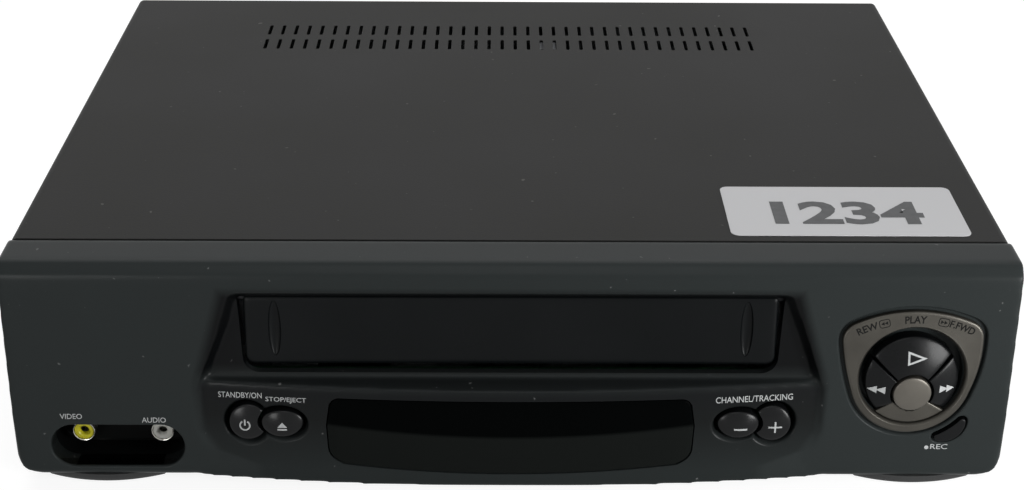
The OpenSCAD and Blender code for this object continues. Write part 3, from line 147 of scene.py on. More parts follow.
def start_finish(name, colour, roughness, metallic=0.0, specular=0.5):
    """A new material with its surface shader, whose id_data is the material's node tree."""
    made = bpy.data.materials.new(name)
    made.use_nodes = True
    made.diffuse_color = paint(colour)
    tree = made.node_tree
    tree.nodes.clear()
    shader = add_node(tree, "ShaderNodeBsdfPrincipled", {
        "Base Color": paint(colour), "Roughness": roughness, "Metallic": metallic, "Specular IOR Level": specular})
    add_node(tree, "ShaderNodeOutputMaterial", {"Surface": shader.outputs[0]})
    return made, shader


def grain(shader, size, depth, detail=2.0):
    """A grain of one size and depth in millimetres. Returns the place for other patterns."""
    tree = shader.id_data
    place = add_node(tree, "ShaderNodeTexCoord").outputs["Object"]
    noise = add_node(tree, "ShaderNodeTexNoise", {"Vector": place, "Scale": 1000 / size, "Detail": detail})
    bump = add_node(tree, "ShaderNodeBump", {"Height": noise.outputs[0], "Distance": depth * MM})
    tree.links.new(bump.outputs[0], shader.inputs["Normal"])
    return place


def tone(shader, place, size, low, high, socket="Base Color"):
    """A slow drift of colour or roughness over the surface, as handling and age leave."""
    tree = shader.id_data
    start, end = 0.3, 0.7  # the noise seldom leaves this range
    noise = add_node(tree, "ShaderNodeTexNoise", {"Vector": place, "Scale": 1000 / size, "Detail": 3.0})
    if socket == "Base Color":
        stops = [(start, paint(low)), (end, paint(high))]
        drift = add_node(tree, "ShaderNodeValToRGB", {"Fac": noise.outputs[0]}, stops)
    else:
        drift = add_node(tree, "ShaderNodeMapRange", {
            "Value": noise.outputs[0], "From Min": start, "From Max": end, "To Min": low, "To Max": high})
    tree.links.new(drift.outputs[0], shader.inputs[socket])


def specks(shader, place, size, colour):
    """A few grains of dust: the peaks of a fine noise, mixed into the colour that the shader already has."""
    tree = shader.id_data
    start, full, cover = 0.775, 0.81, 0.6  # a peak's foot and top, and how much of the colour a grain hides
    noise = add_node(tree, "ShaderNodeTexNoise", {"Vector": place, "Scale": 1000 / size, "Detail": 1.0})
    peak = add_node(tree, "ShaderNodeMapRange", {
        "Value": noise.outputs[0], "From Min": start, "From Max": full, "To Max": cover})
    under = shader.inputs["Base Color"].links[0].from_socket
    dusted = add_node(tree, "ShaderNodeMix", {"Factor": peak.outputs[0], 6: under, 7: paint(colour)},
                      data_type="RGBA")
    tree.links.new(dusted.outputs[2], shader.inputs["Base Color"])


def dress(finish, *names):
    """Gives CAD nodes a finish."""
    for name in names:
        cad[name].data.materials.clear()
        cad[name].data.materials.append(finish)


tray_black, shader = start_finish("moulded_black_polystyrene", "#17181a", 0.5)
place = grain(shader, 0.8, 0.03)
tone(shader, place, 40, "#141517", "#1c1d1f")
dress(tray_black, "bottom_chassis")

foot_rubber, shader = start_finish("soft_moulded_rubber", "#191a1b", 0.78)
place = grain(shader, 0.6, 0.04)
tone(shader, place, 15, "#141515", "#212222")
dress(foot_rubber, "mains_gland")

# Circuit boards, electronics and tape deck
# Green boards with dark moulded parts, a deck of plated steel, and on it drums of turned aluminium, brass
# guides, and reels and gears of acetal. All of it is seen through the slots, or with the cover off.

# Solder mask over copper tracks: a glossy green, on which the tracks show as a slightly lighter pattern
board_mask, shader = start_finish("green_solder_mask", "#1f4a2c", 0.28)
tree = shader.id_data
place = add_node(tree, "ShaderNodeTexCoord").outputs["Object"]
tracks = add_node(tree, "ShaderNodeTexBrick", {
    "Vector": place, "Color1": paint("#1d4629"), "Color2": paint("#2b6039"), "Mortar": paint("#183a22"),
    "Scale": 120.0, "Mortar Size": 0.03})
tree.links.new(tracks.outputs[0], shader.inputs["Base Color"])
dress(board_mask, "main_board", "front_boards")

# Zinc-plated steel: a cool grey metal with patches of a duller shine
zinc_steel, shader = start_finish("zinc_plated_steel", "#8d8f92", 0.36, metallic=1.0)
place = grain(shader, 0.7, 0.01)
tone(shader, place, 14, "#828487", "#97999c")
tone(shader, place, 5, 0.28, 0.42, "Roughness")
dress(zinc_steel, "tuner_module", "aerial_sockets", "deck_stay", "deck_plate", "left_bracket", "right_bracket",
      "idler_arm", "pinch_arm", "tension_arm", "carriage_frame", "cassette_holder", "capstan", "flap_spring",
      "cover_screws", "loading_motor", "erase_head", "audio_head")

# Fine lines, drawn as coarse as they need to show: their way, scale and depth
for name, colour, roughness, metallic, way, lines, depth, nodes in (
    # Stacked sheets of iron under a brown varnish: dull edges, side by side
    ("varnished_laminations", "#3b352b", 0.4, 0.6, "X", 600.0, 0.1, ["power_transformer"]),
    # Bare aluminium off the lathe: bright, with its highlights drawn out across the turning marks
    ("turned_aluminium", "#b2b4b6", 0.24, 1.0, "Z", 2500.0, 0.004, ["lower_drum", "upper_drum", "power_heatsink"]),
):
    finish, shader = start_finish(name, colour, roughness, metallic)
    tree = shader.id_data
    place = add_node(tree, "ShaderNodeTexCoord").outputs["Object"]
    waves = add_node(tree, "ShaderNodeTexWave", {"Vector": place, "Scale": lines}, bands_direction=way)
    bump = add_node(tree, "ShaderNodeBump", {"Height": waves.outputs[0], "Distance": depth * MM})
    tree.links.new(bump.outputs[0], shader.inputs["Normal"])
    dress(finish, *nodes)

# Grained finishes: the size and depth of the grain, and the drift of colour over it
for name, colour, roughness, metallic, size, depth, drift, nodes in (
    # Moulded epoxy: blunt dark cases
    ("moulded_epoxy_cases", "#202227", 0.42, 0.0, 0.5, 0.02, (9, "#17191d", "#2b2e35"),
     ["board_components", "key_switches"]),
    # Glass over a display that is off: nearly black, and sharp in its reflections
    ("dark_display_glass", "#0c1414", 0.06, 0.0, 6.0, 0.01, (), ["display_module"]),
    # Brass off the lathe: a warm bright yellow
    ("turned_brass", "#9c8046", 0.28, 1.0, 0.5, 0.01, (), ["supply_guide", "takeup_guide", "motor_pinion"]),
    # Acetal: milky white or black, with a waxy shine
    ("white_acetal", "#d6d6cf", 0.38, 0.0, 1.0, 0.01, (20, "#cfcfc6", "#dcdcd6"),
     ["supply_reel", "takeup_reel", "carriage_pinion", "cam_gear"]),
    ("black_acetal", "#161718", 0.4, 0.0, 0.8, 0.02, (), ["clutch_pulley", "scart_sockets"]),
    # Ground rubber: black and quite dull
    ("ground_rubber", "#1b1b1b", 0.85, 0.0, 0.3, 0.03, (), ["pinch_roller", "idler_wheel", "reel_belt"]),
    # Plain steel sheet: a softer and more even grey than the plated parts
    ("plain_rear_steel", "#828487", 0.42, 1.0, 0.7, 0.01, (30, "#7a7c7f", "#8b8d90"), ["rear_panel"]),
):
    finish, shader = start_finish(name, colour, roughness, metallic)
    place = grain(shader, size, depth)
    if drift:
        tone(shader, place, *drift)
    dress(finish, *nodes)

# Top cover
# One sheet of steel folded over the top and both sides, and stoved with a matt dark grey enamel.
# The enamel has a fine orange-peel texture and a little dust, and reflects almost nothing.
enamel, shader = start_finish("stoved_grey_enamel", "#272727", 0.55, specular=0.08)
place = grain(shader, 0.9, 0.04, detail=3.0)
tone(shader, place, 90, "#262626", "#292928")
tone(shader, place, 90, 0.52, 0.58, "Roughness")
specks(shader, place, 3.2, "#63625f")
dress(enamel, "top_cover")

# Stock label
# A white coated paper sticker with rounded corners, pressed flat on the cover near its front right corner.
# The coating is smooth and a little soft in its shine.
label_paper, shader = start_finish("coated_white_sticker", "#cbcbcd", 0.45)
grain(shader, 1.2, 0.01)
dress(label_paper, "stock_label")

# Front panel
# One moulding of dark polystyrene, hollow behind, with a hollow round the cassette flap and a bowed lower front.
# Its spark-eroded mould leaves a satin grain, and every edge is softly rounded.
RIDGE_Y, RIDGE_Z = -133, 85.5  # where the top of the panel meets its leaning face
LEAN_SIN, LEAN_COS, LEAN_TAN = 0.0871557, 0.996195, 0.0874887  # of the face's lean, 5 degrees
BOW_Y, BOW_Z, BOW_R = -147, 5, 900  # foremost line and radius of the bowed lower front
BOW_LEAN, BOW_COS, BOW_TAN = 8.5, 0.989016, 0.149451  # the bow's lean in degrees, its cosine and tangent
BACK, TOP, BASE, HALF = -113, 89, 5, 180.5  # the panel's rear edge, top, lower edge and half width
CUT = (-160, -100)  # how far a cutter reaches from front to back


def face_y(z):
    """Depth of the leaning front face at a height, in millimetres."""
    return RIDGE_Y - (RIDGE_Z - z) * LEAN_TAN


def bow_y(x, z):
    """Depth of the bowed lower front."""
    return BOW_Y + (z - BOW_Z) * BOW_TAN + (BOW_R - math.sqrt(BOW_R ** 2 - x * x)) / BOW_COS


def on_face(x, depth, rise):
    """A point given across, into and up the leaning face, measured from its ridge."""
    return x, RIDGE_Y + depth * LEAN_COS + rise * LEAN_SIN, RIDGE_Z - depth * LEAN_SIN + rise * LEAN_COS


def on_lean(x, depth, z):
    """A point given by its depth straight behind the leaning face."""
    return x, face_y(z) + depth, z


def on_bow(x, depth, z):
    """A point given by its depth behind the bowed lower front."""
    return x, bow_y(x, z) + depth, z


def arc(x, z, r, start, end, count):
    """Points along an arc, in degrees."""
    turn = [math.radians(start + (end - start) * i / count) for i in range(count + 1)]
    return [(x + r * math.cos(t), z + r * math.sin(t)) for t in turn]


def circle(x, z, r, count):
    """Points round a whole circle."""
    return arc(x, z, r, 0, 360 - 360 / count, count - 1)


def both_sides(right, middle=()):
    """An outline made whole from its right side, with what lies in the middle between the two."""
    return right + list(middle) + [(-x, z) for x, z in reversed(right)]


def set_points(piece, places):
    """Moves a piece's points to places in millimetres."""
    for point, place in zip(piece.data.vertices, places):
        point.co = [c * MM for c in place]


def edit_all():
    """Goes into edit mode with all of the piece selected."""
    bpy.ops.object.mode_set(mode="EDIT")
    bpy.ops.mesh.select_all(action="SELECT")


def close_up():
    """Merges a piece's doubles, turns its faces outwards, and goes back to object mode."""
    bpy.ops.mesh.select_all(action="SELECT")
    bpy.ops.mesh.remove_doubles(threshold=1e-7)
    bpy.ops.mesh.normals_make_consistent(inside=False)
    bpy.ops.object.mode_set(mode="OBJECT")


def plate(name, outline, near, far, across="Y"):
    """A flat outline in millimetres, drawn on a circle's points and extruded from near to far."""
    deselect()
    bpy.ops.mesh.primitive_circle_add(vertices=len(outline), radius=0.01, fill_type="NGON")
    made = bpy.context.object
    made.name = name
    set_points(made, [{"X": (near, u, w), "Y": (u, near, w), "Z": (u, w, near)}[across] for u, w in outline])
    edit_all()
    step = [(far - near) * MM if axis == across else 0 for axis in "XYZ"]
    bpy.ops.mesh.extrude_region_move(TRANSFORM_OT_translate={"value": step})
    close_up()
    return made


def loft(name, loops, caps=True):
    """Loops of points in millimetres, each extruded from the last. Without caps the end meets the start."""
    deselect()
    fill = "NGON" if caps else "NOTHING"
    bpy.ops.mesh.primitive_circle_add(vertices=len(loops[0]), radius=0.01, fill_type=fill)
    made = bpy.context.object
    made.name = name
    loops = loops if caps else loops + [loops[0]]
    edit_all()
    for _ in loops[1:]:
        bpy.ops.mesh.extrude_region_move()
    bpy.ops.object.mode_set(mode="OBJECT")
    set_points(made, [co for loop in loops for co in loop])
    edit_all()
    close_up()
    return made


def drum_block(name, inset):
    """The very large drum whose side is the bowed lower front, or lies an inset behind it."""
    deselect()
    bpy.ops.mesh.primitive_cylinder_add(
        vertices=1080, radius=(BOW_R - inset) * MM, depth=0.6, rotation=(math.radians(-BOW_LEAN), 0, 0),
        location=(0, (BOW_Y + BOW_R / BOW_COS) * MM, BOW_Z * MM))
    made = bpy.context.object
    made.name = name
    bpy.ops.object.transform_apply(location=True, rotation=True, scale=True)
    return made


def apply_modifier(piece, kind, **settings):
    """Adds a modifier with its settings to a piece, and applies it."""
    change = piece.modifiers.new(kind.lower(), kind)
    for key, value in settings.items():
        setattr(change, key, value)
    bpy.context.view_layer.objects.active = piece
    bpy.ops.object.modifier_apply(modifier=change.name)


def combine(piece, other, how):
    """Cuts, joins or crosses a piece with another, which is used up."""
    apply_modifier(piece, "BOOLEAN", operation=how, object=other, solver="MANIFOLD")
    bpy.data.objects.remove(other)


def soft_edge(piece, size, segments=2):
    """Rounds a piece's sharp edges."""
    apply_modifier(piece, "BEVEL", width=size * MM, segments=segments, limit_method="ANGLE",
                   angle_limit=math.radians(40))


def finish_piece(piece, finish, body, *nodes):
    """Smooths a piece, gives it its finish, and lets it ride in place of its CAD nodes."""
    deselect()
    piece.select_set(True)
    bpy.context.view_layer.objects.active = piece
    bpy.ops.object.shade_smooth_by_angle(angle=math.radians(35))
    piece.data.materials.clear()
    piece.data.materials.append(finish)
    if nodes:
        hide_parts(*nodes)
    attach(piece, body)


side = [(BACK, BASE), (BACK, TOP)] + arc(-128.2, 86.2, 2.8, 90, 150, 5)
side += [(RIDGE_Y, 84.6), (face_y(7), 7), (face_y(BASE) + 1.4, BASE)]
fascia = plate("front_moulding", side, -185, 185, "X")
front = [(-HALF, 95), (HALF, 95)] + arc(171.5, 14, 9, 0, -90, 10) + arc(-171.5, 14, 9, 270, 180, 10)
combine(fascia, plate("front_outline", front, *CUT), "INTERSECT")
plan = [(-HALF, -110), (HALF, -110), (HALF, -131)] + arc(177.2, -136.5, 3.3, 0, -60, 5)
plan += [(176.5, -150), (-176.5, -150)] + arc(-177.2, -136.5, 3.3, 240, 180, 5) + [(-HALF, -131)]
combine(fascia, plate("plan_outline", plan, 0, 95, "Z"), "INTERSECT")


# Hollow round the flap: its outline on the face is bridged to a smaller one on its floor
def hollow_outline(half_top, half, top, waist, low, corner):
    right = [(half_top - 4, top), (half_top - 1, top - 1), (half_top, top - 4), (half, waist)]
    return both_sides(right + arc(half - corner, low + corner, corner, 0, -90, 6))


HOLLOW_DEPTH = 5
rim = hollow_outline(103.5, 114, -6.3, -42.6, -73.7, 14)
ground = hollow_outline(98.2, 111, -10.4, -46.0, -68.7, 10)
hollow = plate("hollow", rim, 0, HOLLOW_DEPTH)
outside = [on_face(x * 1.004, -3, h + (0.8 if h > -20 else -0.8)) for x, h in rim]
inside = [on_face(x, HOLLOW_DEPTH, h) for x, h in ground]
set_points(hollow, outside + inside)
combine(fascia, hollow, "DIFFERENCE")

# Bowed lower front, cut from the side of a very large drum, with ends that slope into the face
chin_side = [(BACK, BASE), (BACK, 43), (-129, 43), (-137.0, 42.9), (-143.5, 42.3), (-152, 42), (-152, 6.5),
             (-145.5, BASE)]
chin = plate("lower_front", chin_side, -125, 125, "X")
combine(chin, drum_block("bow", 0), "INTERSECT")
chin_front = [(-110, 60), (110, 60)] + arc(98, 21, 12, 0, -60, 6)
chin_front += [(114, 11), (114, BASE), (-114, BASE), (-114, 11)] + arc(-98, 21, 12, 240, 180, 6)
END_Y, END_SLOPE = -139, 0.015  # where the outline has its own width, and its growth with each millimetre back
ends = [[(x * (1 + (y - END_Y) * END_SLOPE), y, z) for x, z in chin_front] for y in (CUT[0], END_Y, CUT[1])]
combine(chin, loft("chin_outline", ends), "INTERSECT")
combine(fascia, chin, "UNION")
apply_modifier(fascia, "REMESH", mode="VOXEL", voxel_size=0.85 * MM)
apply_modifier(fascia, "SMOOTH", factor=0.5, iterations=12)

# Hollow behind, then the openings for the cassette, the window, the keys and the sockets
cavity = [(-110, 7.6), (-110, 86.6), (-123.5, 86.6), (-126.0, 82), (-131.6, 8.6)]
combine(fascia, plate("cavity", cavity, -177.5, 177.5, "X"), "DIFFERENCE")
mouth = [(-97.5, 75), (97.5, 75)] + arc(90.5, 50.6, 6, 0, -90, 8) + arc(-90.5, 50.6, 6, 270, 180, 8)
combine(fascia, plate("mouth_cut", mouth, *CUT), "DIFFERENCE")


def window_outline(grow):
    """The display window: upright ends with rounded corners, and a lower edge that dips to its middle."""
    half, top, low, dip = 66.5 + grow, 38.5 + grow, 13.6 - grow, 3.2
    radius = (half * half + dip * dip) / (2 * dip)
    reach = math.degrees(math.asin((half - 6) / radius))
    right = arc(half - 5, top - 4, 4, 90, 20, 6) + [(half, (top + low) / 2 + 2)]
    right += arc(half - 6.5, low + 6, 6, -5, -60, 6) + arc(0, low - dip + radius, radius, reach - 90, -90, 14)[:-1]
    return both_sides(right, [(0, low - dip)])


combine(fascia, plate("window_cut", window_outline(0.15), *CUT), "DIFFERENCE")


def pair_outline(side, grow):
    """The joined outline of a round and an oval key, walked round a point inside both."""
    count, cx, cz = 72, 89 * side, 27.8
    round_x, round_z, round_r = 95.2 * side, 27.6, 6.8
    oval_x, oval_z, oval_wide, oval_high = 82.6 * side, 27.9, 7.8, 4.9
    points = []
    for i in range(count):
        t = 2 * math.pi * i / count
        dx, dz = math.cos(t), math.sin(t)
        lo, hi = 2.0, 30.0
        for _ in range(30):
            r = (lo + hi) / 2
            x, z = cx + r * dx, cz + r * dz
            round_gap = math.hypot(x - round_x, z - round_z) - round_r
            u, w = (x - oval_x) / oval_wide, (z - oval_z) / oval_high
            q = math.hypot(u, w)
            oval_gap = (q - 1) * q / max(math.hypot(u / oval_wide, w / oval_high), 1e-6)
            lo, hi = (r, hi) if min(round_gap, oval_gap) < grow else (lo, r)
        points.append((cx + r * dx, cz + r * dz))
    return points


def well(name, outline, steps, where):
    """A cutter with a rounded mouth: an outline at each step's growth, at its depth behind the surface."""
    return loft(name, [[where(x, depth, z) for x, z in outline(grow)] for grow, depth in steps])


KEY_WELL = [(3.0, -0.9), (2.5, -0.02), (2.15, 0.12), (1.75, 0.45), (1.4, 1.1), (1.25, 2.2), (1.25, 22)]
for s in (-1, 1):
    combine(fascia, well("key_well", lambda grow: pair_outline(s, grow), KEY_WELL, on_bow), "DIFFERENCE")


def slot_outline(grow):
    return arc(-127.25, 17.3, 8.5 + grow, 90, -90, 16) + arc(-158.75, 17.3, 8.5 + grow, 270, 90, 16)


SLOT_WELL = [(1.0, -0.8), (0.55, -0.02), (0.25, 0.12), (0.05, 0.45), (0, 1.0), (0, 20)]
combine(fascia, well("socket_cut", slot_outline, SLOT_WELL, on_lean), "DIFFERENCE")


def between(start, end, count, bulge=0):
    """The points between two others on a line, or on a curve that bulges to the right in its middle."""
    return [(start[0] + (end[0] - start[0]) * i / count + bulge * 4 * (i / count) * (1 - i / count),
             start[1] + (end[1] - start[1]) * i / count) for i in range(1, count)]


def trim_outline(grow):
    """The outline of the silver plate round the transport keys, from the ring's middle."""
    ring = arc(0, 0, 22 + grow, 196, 344, 40)
    left = arc(-18.85, 14.95, 7 + grow, 118, 180, 10)
    right = arc(17.57, 15.76, 6.8 + grow, 0, 64, 10)
    points = arc(0, 26.3 - 50, 50 + grow, 67, 116, 20) + left + between(left[-1], ring[0], 9, -0.6)
    return points + ring + between(ring[-1], right[0], 9, 1.1) + right


RING_X, RING_RISE = 144, (46 - RIDGE_Z) / LEAN_COS  # the ring's middle, across and up the face
HOLE, HOLE_R = (0.2, 0.6), 19.0  # the round hole for the ring's keys, from the ring's middle
HUB = (0.55, -5.9)  # middle of the silver key in it


def on_ring(x, depth, rise):
    """A point given by its depth behind the face, from the ring's middle."""
    return on_face(RING_X + x, depth, RING_RISE + rise)


TRIM_WELL = [(2.6, -0.9), (2.15, -0.02), (1.85, 0.12), (1.5, 0.45), (1.25, 0.9), (1.2, 1.68)]
combine(fascia, well("trim_cut", trim_outline, TRIM_WELL, on_ring), "DIFFERENCE")
HOLE_WELL = [(-0.1, 1.2), (-0.1, 6.7)]
combine(fascia, well("ring_cut", lambda grow: circle(*HOLE, HOLE_R + grow, 72), HOLE_WELL, on_ring), "DIFFERENCE")
for x, rise in ((0, 9), (-12, -2), (12, -2), (0, -4.2)):
    hole = well("stem_hole", lambda grow: circle(x, rise, 2.6, 24), [(0, 6), (0, 20)], on_ring)
    combine(fascia, hole, "DIFFERENCE")


def record_outline(grow):
    """A leaf with rounded tips: a disc with a bite taken out of it along the silver plate's curve."""
    disc, upper, lower, tip, bite = (13.5, -17.8), (20.1, -17.73), (11.65, -24.13), 1.3 + grow, 25.5 - grow
    points = arc(*disc, 7.9 + grow, 253.7, 360.6, 26)[:-1] + arc(*upper, tip, 0.6, 138.6, 10)
    return points + arc(0, 0, bite, -41.4, -64.2, 17)[1:-1] + arc(*lower, tip, 115.8, 253.7, 10)[:-1]


RECORD_WELL = [(1.5, -0.8), (1.2, -0.02), (0.95, 0.15), (0.75, 0.6), (0.75, 20)]
combine(fascia, well("record_cut", record_outline, RECORD_WELL, on_ring), "DIFFERENCE")

# Satin polystyrene: blackish grey, with a weak soft shine. The hollow between the wings is darkened with painted
# shade, by height, with a paler painted light band on its ledge, and a paler film on what faces upwards. Heights are
# in tenths of a metre, and half widths in metres.
HOLLOW_EDGE = [(0.11, 0.092), (0.16, 0.107), (0.24, 0.1128), (0.43, 0.1142), (0.79, 0.1037)]
HOLLOW_TOP = 0.0792
# Painted shade in the hollow, by height: dark in the recess, paler low down, a painted light band on the ledge's top,
# and darkest above it under the flap
HOLLOW_SHADE_TONES = [(0.1, "#1f2323"), (0.3, "#101212"), (0.4, "#0e1011"), (0.435, "#1a1d1d"), (0.48, "#060708")]
WING_TONE, WING_BLEND = "#252929", (-0.0028, 0.0012)  # the wings' tone, and where it takes over from the hollow's painted shade at its edge
# Dust and painted top light: a paler film on what faces upwards, which stands partly for dust and partly for light
# from above
DUST_AND_TOPLIGHT_TONE, DUST_AND_TOPLIGHT_SLOPE, DUST_AND_TOPLIGHT_COVER = "#424546", (0.45, 0.95), 0.12
satin_plastic, shader = start_finish("satin_black_polystyrene", "#191d1f", 0.3, specular=0.08)
tree = shader.id_data
place = grain(shader, 0.6, 0.012)
tone(shader, place, 18, 0.28, 0.36, "Roughness")
spread = add_node(tree, "ShaderNodeSeparateXYZ", {0: place})
across = add_node(tree, "ShaderNodeMath", {0: spread.outputs["X"]}, operation="ABSOLUTE")
height = add_node(tree, "ShaderNodeMath", {0: spread.outputs["Z"], 1: 10}, operation="MULTIPLY")
widths = [(up, (half, half, half, 1)) for up, half in HOLLOW_EDGE]
half_width = add_node(tree, "ShaderNodeValToRGB", {"Fac": height.outputs[0]}, widths)
beyond = add_node(tree, "ShaderNodeMath", {0: across.outputs[0], 1: half_width.outputs[0]}, operation="SUBTRACT")
above = add_node(tree, "ShaderNodeMath", {0: spread.outputs["Z"], 1: HOLLOW_TOP}, operation="SUBTRACT")
off = add_node(tree, "ShaderNodeMath", {0: beyond.outputs[0], 1: above.outputs[0]}, operation="MAXIMUM")
unshaded_wing = add_node(tree, "ShaderNodeMapRange", {
    "Value": off.outputs[0], "From Min": WING_BLEND[0], "From Max": WING_BLEND[1]})
# The hollow's painted shade by height, which gives way to the wings' tone outside the hollow
hollow_shade_stops = [(up, paint(code)) for up, code in HOLLOW_SHADE_TONES]
inner = add_node(tree, "ShaderNodeValToRGB", {"Fac": height.outputs[0]}, hollow_shade_stops)
painted_shade = add_node(tree, "ShaderNodeMix", {"Factor": unshaded_wing.outputs[0], 6: inner.outputs[0], 7: paint(WING_TONE)},
                 data_type="RGBA")
facing = add_node(tree, "ShaderNodeNewGeometry")
facing = add_node(tree, "ShaderNodeSeparateXYZ", {0: facing.outputs["Normal"]})
# Paler where the surface faces upwards, as dust and as painted top light
dust_and_toplight = add_node(tree, "ShaderNodeMapRange", {
    "Value": facing.outputs["Z"], "From Min": DUST_AND_TOPLIGHT_SLOPE[0], "From Max": DUST_AND_TOPLIGHT_SLOPE[1], "To Max": DUST_AND_TOPLIGHT_COVER})
dusted_and_toplit = add_node(tree, "ShaderNodeMix", {"Factor": dust_and_toplight.outputs[0], 6: painted_shade.outputs[2], 7: paint(DUST_AND_TOPLIGHT_TONE)},
                 data_type="RGBA")
tree.links.new(dusted_and_toplit.outputs[2], shader.inputs["Base Color"])
specks(shader, place, 2.6, "#6f7070")
finish_piece(fascia, satin_plastic, "root", "front_panel")

# Feet
# Soft moulded feet: two broad ones with a bowed front under the front panel, and two round ones behind.
# Their lower edges are well rounded, so that only the middle of each touches the table.
FOOT_STEPS = [(1, 5), (1, 3.8), (0.985, 2.8), (0.95, 1.7), (0.88, 0.7), (0.79, 0.15), (0.7, 0)]
FOOT_R, FOOT_MIDDLE = 56, 36.6  # the bow of a broad foot's front
broad_foot = [(u, FOOT_MIDDLE - math.sqrt(FOOT_R ** 2 - u * u)) for u in range(-22, 23, 2)]
broad_foot += arc(16, 7.6, 6, 0, 90, 6) + arc(-16, 7.6, 6, 90, 180, 6)
for s in (-1, 1):
    for name, node, cx, cy, outline in (("front_foot", "front_feet", 149, -120, broad_foot),
                                        ("rear_foot", "rear_feet", 145, 113, circle(0, 0, 10.5, 48))):
        foot = loft(name, [[(s * cx + u * k, cy + w * k, z) for u, w in outline] for k, z in FOOT_STEPS])
        finish_piece(foot, foot_rubber, "root", node)

# Socket pocket
# A smooth black cup behind the rounded slot in the front, open to the front, with a hole for each socket.
# It lies in shadow, so the eye sees little more than its rim and a faint shine on its floor.
SOCKET_Z = 17
VIDEO_X, AUDIO_X = -157.5, -128.5
POCKET_STEPS = [(1.45, 19.4), (1.45, 0.9), (0.9, 0.55), (0.1, 0.6), (0, 1.2), (0, 17.4), (-0.5, 17.9)]


def turned(name, x, z, profile, caps=True):
    """A round piece turned about a line from front to back: radius and depth in millimetres at each step."""
    return loft(name, [[(x + u, y, z + w) for u, w in circle(0, 0, r, 48)] for r, y in profile], caps)


pocket = well("socket_pocket", slot_outline, POCKET_STEPS, on_lean)
for x in (VIDEO_X, AUDIO_X):
    combine(pocket, turned("socket_hole", x, SOCKET_Z, [(4.3, -125), (4.3, -116)]), "DIFFERENCE")
gloss_plastic, shader = start_finish("gloss_black_polystyrene", "#070808", 0.4, specular=0.05)
place = grain(shader, 1.5, 0.01)
tone(shader, place, 12, 0.34, 0.48, "Roughness")
finish_piece(pocket, gloss_plastic, "root")

# Front sockets
# Two phono sockets: a nickel-plated barrel round a coloured insulator with a sprung contact in its bore.
# Yellow is picture and white is sound. A moulded block behind carries each on its board.
BARREL = [(3.95, -119.3), (3.95, -121.0), (4.15, -121.0), (4.15, -128.7), (4.05, -128.92), (3.9, -128.97),
          (3.72, -128.9), (3.65, -128.7), (3.65, -119.3)]
CORE = [(3.6, -121.0), (3.6, -128.3), (3.4, -128.55), (2.3, -128.57), (1.9, -128.3), (1.65, -127.9), (1.65, -121.5)]
CONTACT = [(1.6, -120.8), (1.6, -126.6), (1.35, -127.0), (1.3, -126.6), (1.3, -120.8)]


def box_outline(left, low, right, top):
    return [(left, low), (right, low), (right, top), (left, top)]


def join(piece, *others):
    """Makes several meshes one piece."""
    deselect()
    for other in (piece, *others):
        other.select_set(True)
    bpy.context.view_layer.objects.active = piece
    bpy.ops.object.join()


# Nickel plate: a bright, slightly warm metal whose shine is uneven from plugs pushed on
nickel, shader = start_finish("nickel_plate", "#b9b8b2", 0.22, metallic=1.0)
place = grain(shader, 0.8, 0.004)
tone(shader, place, 3, 0.18, 0.34, "Roughness")
for name, x, slot, finish_name, colour, low, high in (
    # Moulded nylon: an even strong colour with a soft shine
    ("video_jack", VIDEO_X, "yellow_plastic", "yellow_moulded_nylon", "#aea81c", "#a39c18", "#b8b222"),
    ("audio_jack", AUDIO_X, "white_plastic", "white_moulded_nylon", "#cfcfc8", "#c6c6bf", "#d8d8d2"),
):
    nylon, shader = start_finish(finish_name, colour, 0.42)
    place = grain(shader, 0.5, 0.01)
    tone(shader, place, 4, low, high)
    barrel = turned(name + "_barrel", x, SOCKET_Z, BARREL, caps=False)
    finish_piece(barrel, nickel, "root", name)
    core = turned(name + "_core", x, SOCKET_Z, CORE, caps=False)
    block = plate("block", box_outline(x - 5.5, 10.4, x + 5.5, 24.4), -119.3, -108.3)
    soft_edge(block, 0.5)
    join(core, block)
    finish_piece(core, nylon, "root", name)
    contact = turned(name + "_contact", x, SOCKET_Z, CONTACT, caps=False)
    finish_piece(contact, nickel, "root", name)

# Display window
# A bowed pane of smoked acrylic, flush with the lower front and held by two clips behind.
# Its lower strip is painted paler than the almost black upper part, as a painted reflection of the floor.
REFLECTION_EDGE, REFLECTION_END, REFLECTION_BEND = 0.0238, 0.0252, -0.85  # where the painted reflection fades into the dark upper part, in metres, and the bend of that line
window = plate("display_window", window_outline(-0.25), -155, -120)
combine(window, drum_block("outer_bow", 0.1), "INTERSECT")
combine(window, drum_block("inner_bow", 2.1), "DIFFERENCE")
soft_edge(window, 0.45, 3)
for s in (-1, 1):
    clip = plate("clip", box_outline(s * 37, 15, s * 43, 35), -146, -120)
    combine(clip, drum_block("outer_bow", 2.0), "INTERSECT")
    combine(clip, drum_block("inner_bow", 5.0), "DIFFERENCE")
    join(window, clip)

# Smoked acrylic: almost black, and smoother than the front round it
smoked, shader = start_finish("smoked_acrylic", "#030404", 0.08, specular=0.008)
tree = shader.id_data
place = add_node(tree, "ShaderNodeTexCoord").outputs["Object"]
spread = add_node(tree, "ShaderNodeSeparateXYZ", {0: place})
reflection_line = add_node(tree, "ShaderNodeMath", {0: spread.outputs["X"], 1: spread.outputs["X"]}, operation="MULTIPLY")
reflection_line = add_node(tree, "ShaderNodeMath", {0: reflection_line.outputs[0], 1: REFLECTION_BEND, 2: spread.outputs["Z"]},
                operation="MULTIPLY_ADD")
step = add_node(tree, "ShaderNodeMapRange", {
    "Value": reflection_line.outputs[0], "From Min": REFLECTION_EDGE, "From Max": REFLECTION_END})
